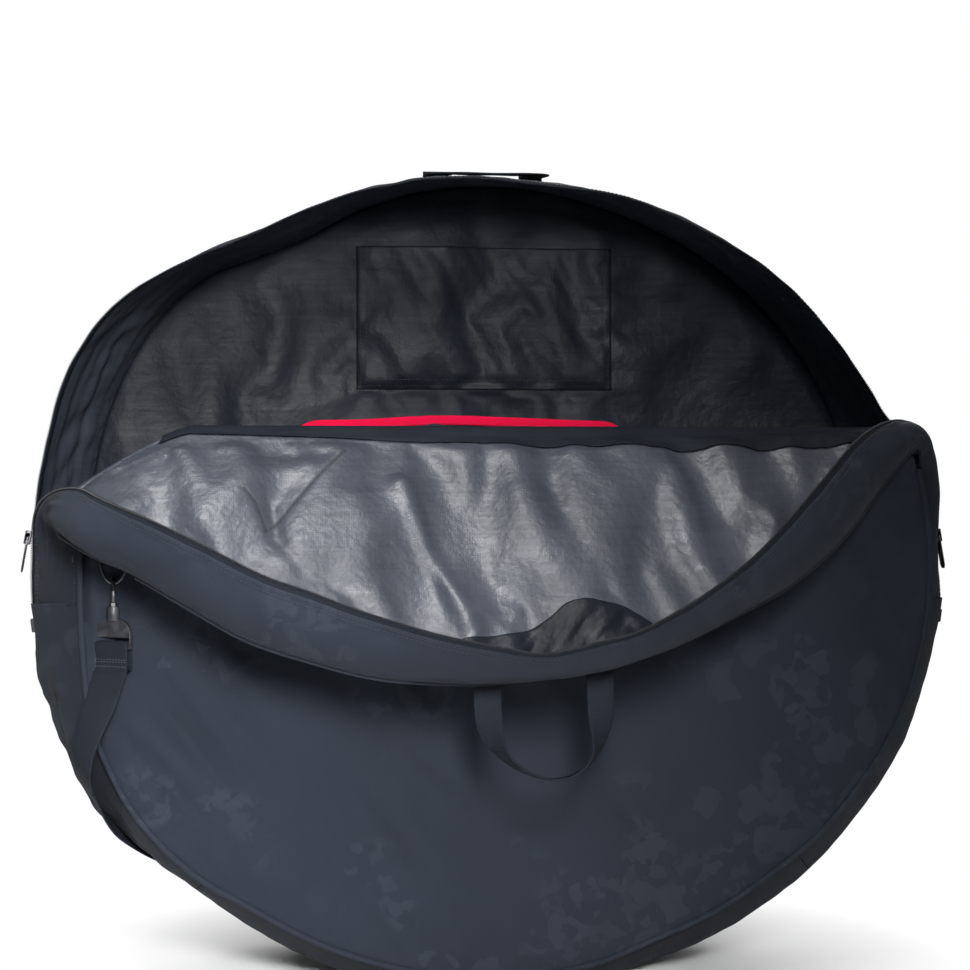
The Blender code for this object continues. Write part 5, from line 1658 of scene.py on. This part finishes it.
def make_hardware():
    """The frame's hard pieces and sewn ends, with their corners rounded."""
    softened("strap_yoke_left", "bag_body", moulded, 0.0007, (YOKE_LEFT[1], YOKE_TURN))
    softened("strap_yoke_right", "bag_body", moulded, 0.0007)
    for side, slider_shift in (("left", -0.0040), ("right", 0.0075)):
        on_cloth = (slider_shift, 0, 0)
        for name, finish, width, shift in (("hook_gate_", moulded, 0.0005, (0, 0, 0)),
                                           ("zip_slider_", plated, 0.0008, on_cloth),
                                           ("zip_pull_", plated, 0.0004, on_cloth)):
            softened(name + side, name + side, finish, width, shift=shift)
        low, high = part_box("zip_stop_" + side)
        middle = (low + high) / 2
        turn = math.atan2(middle.z - CENTRE_Z, middle.x)
        cloth_x = float(ring_table(SIDE_BULGE, np.array([turn]))[0]) * math.cos(turn)
        inward = cloth_x + math.copysign(0.0020, cloth_x) - middle.x
        softened("zip_stop_" + side, "bag_body", stop_cloth, 0.0010, shift=(inward, 0, 0))
        softened("ring_tab_" + side, "bag_body", webbing_ends, 0.0003)
    softened("strap_adjuster", "strap_adjuster", moulded, 0.0007)
    softened("divider_hem", "bag_body", webbing_ends, 0.0003)


def make_camera():
    """The photograph's camera: 2.3 m in front of the bag and turned a little to the right."""
    camera = bpy.data.cameras.new("camera")
    camera.sensor_width = 36
    camera.lens = 36 * CAMERA_FOCUS / PHOTO_WIDTH
    camera.clip_end = 50
    obj = bpy.data.objects.new("camera", camera)
    obj.location = (-0.310, -2.42, 0.477)
    obj.rotation_euler = (math.pi / 2, 0, math.radians(-7))
    bpy.context.scene.collection.objects.link(obj)
    bpy.context.scene.camera = obj


def make_lamps():
    """Soft lamps at a plain level: name, place, target, size, power and spread in degrees."""
    for name, place, target, size, power, spread in (
            ("key", (-0.14, -2.35, 1.02), (-0.39, -0.1, 0.17), (0.6, 0.6), 8.0, 42),
            ("top", (-0.62, -0.90, 2.0), (-0.32, -0.2, 0.4), (0.8, 0.6), 5.9, 62),
            ("right", (2.3, -1.0, 1.3), (0, 0, 0.4), (0.8, 1.6), 1.5, 180),
            ("back", (0.6, 2.3, 1.8), (0, 0, 0.4), (1.6, 1.4), 34, 180)):
        data = bpy.data.lights.new(name, "AREA")
        data.spread = math.radians(spread)
        data.shape = "RECTANGLE"
        data.size, data.size_y = size
        data.energy = power
        lamp = bpy.data.objects.new(name, data)
        lamp.location = place
        aim = Vector(target) - Vector(place)
        lamp.rotation_euler = aim.to_track_quat("-Z", "Y").to_euler()
        bpy.context.scene.collection.objects.link(lamp)


def make_backdrop():
    """A world that is white where it is seen and dim where it lights."""
    world = bpy.data.worlds.new("studio")
    bpy.context.scene.world = world
    world.use_nodes = True
    tree = world.node_tree
    background = tree.nodes["Background"]
    path = tree.nodes.new("ShaderNodeLightPath")
    seen = maths(tree, "MAXIMUM", path.outputs["Is Camera Ray"],
                 path.outputs["Is Transmission Ray"])
    plug(tree, background.inputs["Strength"], stretched(tree, seen, 0.0, 1.0, 0.17, 1.0))
    background.inputs["Color"].default_value = (1, 1, 1, 1)


def make_floor():
    """A pale floor that keeps the bag's shadow and is as white as the backdrop further out."""
    half = 9
    low = -0.0006
    mesh = bpy.data.meshes.new("floor")
    mesh.from_pydata([(-half, -half, low), (half, -half, low), (half, half, low),
                      (-half, half, low)], [], [(0, 1, 2, 3)])
    floor = bpy.data.objects.new("floor", mesh)
    bpy.context.scene.collection.objects.link(floor)
    made, tree, shader = new_finish("floor", 0.9)
    shader.inputs["Base Color"].default_value = (0.86, 0.86, 0.86, 1)
    far = node(tree, "VectorMath", {0: object_place(tree)}, operation="LENGTH")
    share = stretched(tree, far.node.outputs["Value"], 0.20, 0.46)
    path = tree.nodes.new("ShaderNodeLightPath")
    share = maths(tree, "MULTIPLY", share, path.outputs["Is Camera Ray"])
    white = node(tree, "Emission", {"Color": (1, 1, 1, 1), "Strength": 1.0})
    surface = node(tree, "MixShader", {0: share, 1: shader.outputs[0], 2: white})
    plug(tree, tree.nodes["Material Output"].inputs["Surface"], surface)
    mesh.materials.append(made)


def finish_cad_nodes():
    """Finishes for the frame's own pieces that still show."""
    finishes = {"metal": plated, "hardware": moulded, "webbing": webbing_ends,
                "zip_tape": stop_cloth, "shell": shell, "lining": dark_lining,
                "binding": binding, "padding": dark_lining}
    slots = {row["node"]: row["material_slot"] for row in frame["record"]["subparts"]}
    for name, obj in nodes.items():
        if obj.hide_render:
            continue
        obj.data.materials.clear()
        obj.data.materials.append(finishes[slots[name]])


bpy.context.scene.view_settings.view_transform = "Standard"
along_tree = repeat_tree()
shell = shell_cloth("shell_cloth", 1.0)
# The gusset's copy of the shell cloth is darker all over: painted shade
gusset_shell_painted_shade = shell_cloth("gusset_cloth", 0.66)
lining = lining_cloth("flap_lining_finish", (0.015, 0.018, 0.025, 1),
                      (0.034, 0.038, 0.049, 1), 0.39, 0.52, 0.47)
# Painted shade: the back lining and its pocket are the lining cloth, painted darker for the shade
# inside the bag
back_lining_painted_shade = lining_cloth("back_lining_painted_shade_finish", (0.0060, 0.0080, 0.0125, 1),
                           (0.0125, 0.0155, 0.0220, 1), 0.46, 0.58, 0.16)
facing_cloth = lining_cloth("crease_facing_cloth", (0.0050, 0.0062, 0.0092, 1),
                            (0.0085, 0.0105, 0.0150, 1), 0.7, 0.8, 0.08, 0.4)
# Painted shade: near-black cloth for the strip at the lining's foot
gutter_painted_shade = lining_cloth("gutter_painted_shade_finish", (0.0028, 0.0038, 0.0062, 1),
                           (0.0060, 0.0076, 0.0115, 1), 0.40, 0.52, 0.15)
dark_lining = lining_cloth("inner_cloth", (0.012, 0.014, 0.019, 1),
                           (0.021, 0.024, 0.030, 1), 0.5, 0.65, 0.3)
# Painted light: the hood's inner face, in shade inside the bag, takes a lighter cloth than other
# inner faces
hood_inner_painted_light = lining_cloth("hood_inner_painted_light_cloth", (0.036, 0.044, 0.060, 1),
                           (0.052, 0.062, 0.080, 1), 0.6, 0.75, 0.2, 0.4)
webbing = webbing_finish("webbing", (0.0062, 0.0082, 0.0125, 1), (0.0120, 0.0150, 0.0215, 1),
                         0.0019)
webbing_ends = solid_finish("webbing_ends", (0.011, 0.012, 0.016, 1),
                              (0.02, 0.022, 0.03, 1), 0.8)
tape = webbing_finish("zip_tape", (0.0065, 0.0085, 0.0130, 1), (0.0105, 0.0135, 0.0195, 1),
                      0.0009)
stop_cloth = solid_finish("stop_cloth", (0.007, 0.008, 0.012, 1), (0.011, 0.013, 0.018, 1), 0.8)
binding = webbing_finish("binding_tape", (0.40, 0.0, 0.022, 1), (0.52, 0.0, 0.034, 1),
                         0.0011)
moulded = solid_finish("moulded_plastic", (0.014, 0.015, 0.019, 1), (0.03, 0.032, 0.038, 1), 0.42)
plated = solid_finish("dark_plated_metal", (0.05, 0.05, 0.055, 1), (0.12, 0.12, 0.13, 1), 0.34,
                      metallic=0.9)
coil = solid_finish("zip_coil", (0.0045, 0.0055, 0.0075, 1), (0.010, 0.011, 0.014, 1), 0.6)
thread = solid_finish("thread", (0.010, 0.013, 0.019, 1), (0.017, 0.021, 0.029, 1), 0.8)
pale_thread = solid_finish("pale_thread", (0.055, 0.060, 0.075, 1), (0.10, 0.105, 0.12, 1), 0.7)
red_thread = solid_finish("red_thread", (0.45, 0.0, 0.03, 1), (0.6, 0.003, 0.05, 1), 0.7)

back_xs = np.linspace(-0.42, 0.42, 118)
back_zs = np.linspace(0.0, 0.83, 116)
back_field = settle_back()
front_xs = np.linspace(-0.45, 0.43, 104)
front_zs = np.linspace(0.0, 0.54, 64)
front_field = settle_front()
lining_xs = np.linspace(-0.425, 0.405, 180)
lining_vs = np.linspace(-0.272, 0, 60)
lining_field = settle_lining()

make_camera()
make_lamps()
make_backdrop()
make_floor()
make_gusset()
make_hood()
make_hood_zip()
make_back_panel()
make_front_panel()
make_flap()
make_band()
make_divider()
make_pocket()
make_strap()
make_handles()
make_hardware()
finish_cad_nodes()
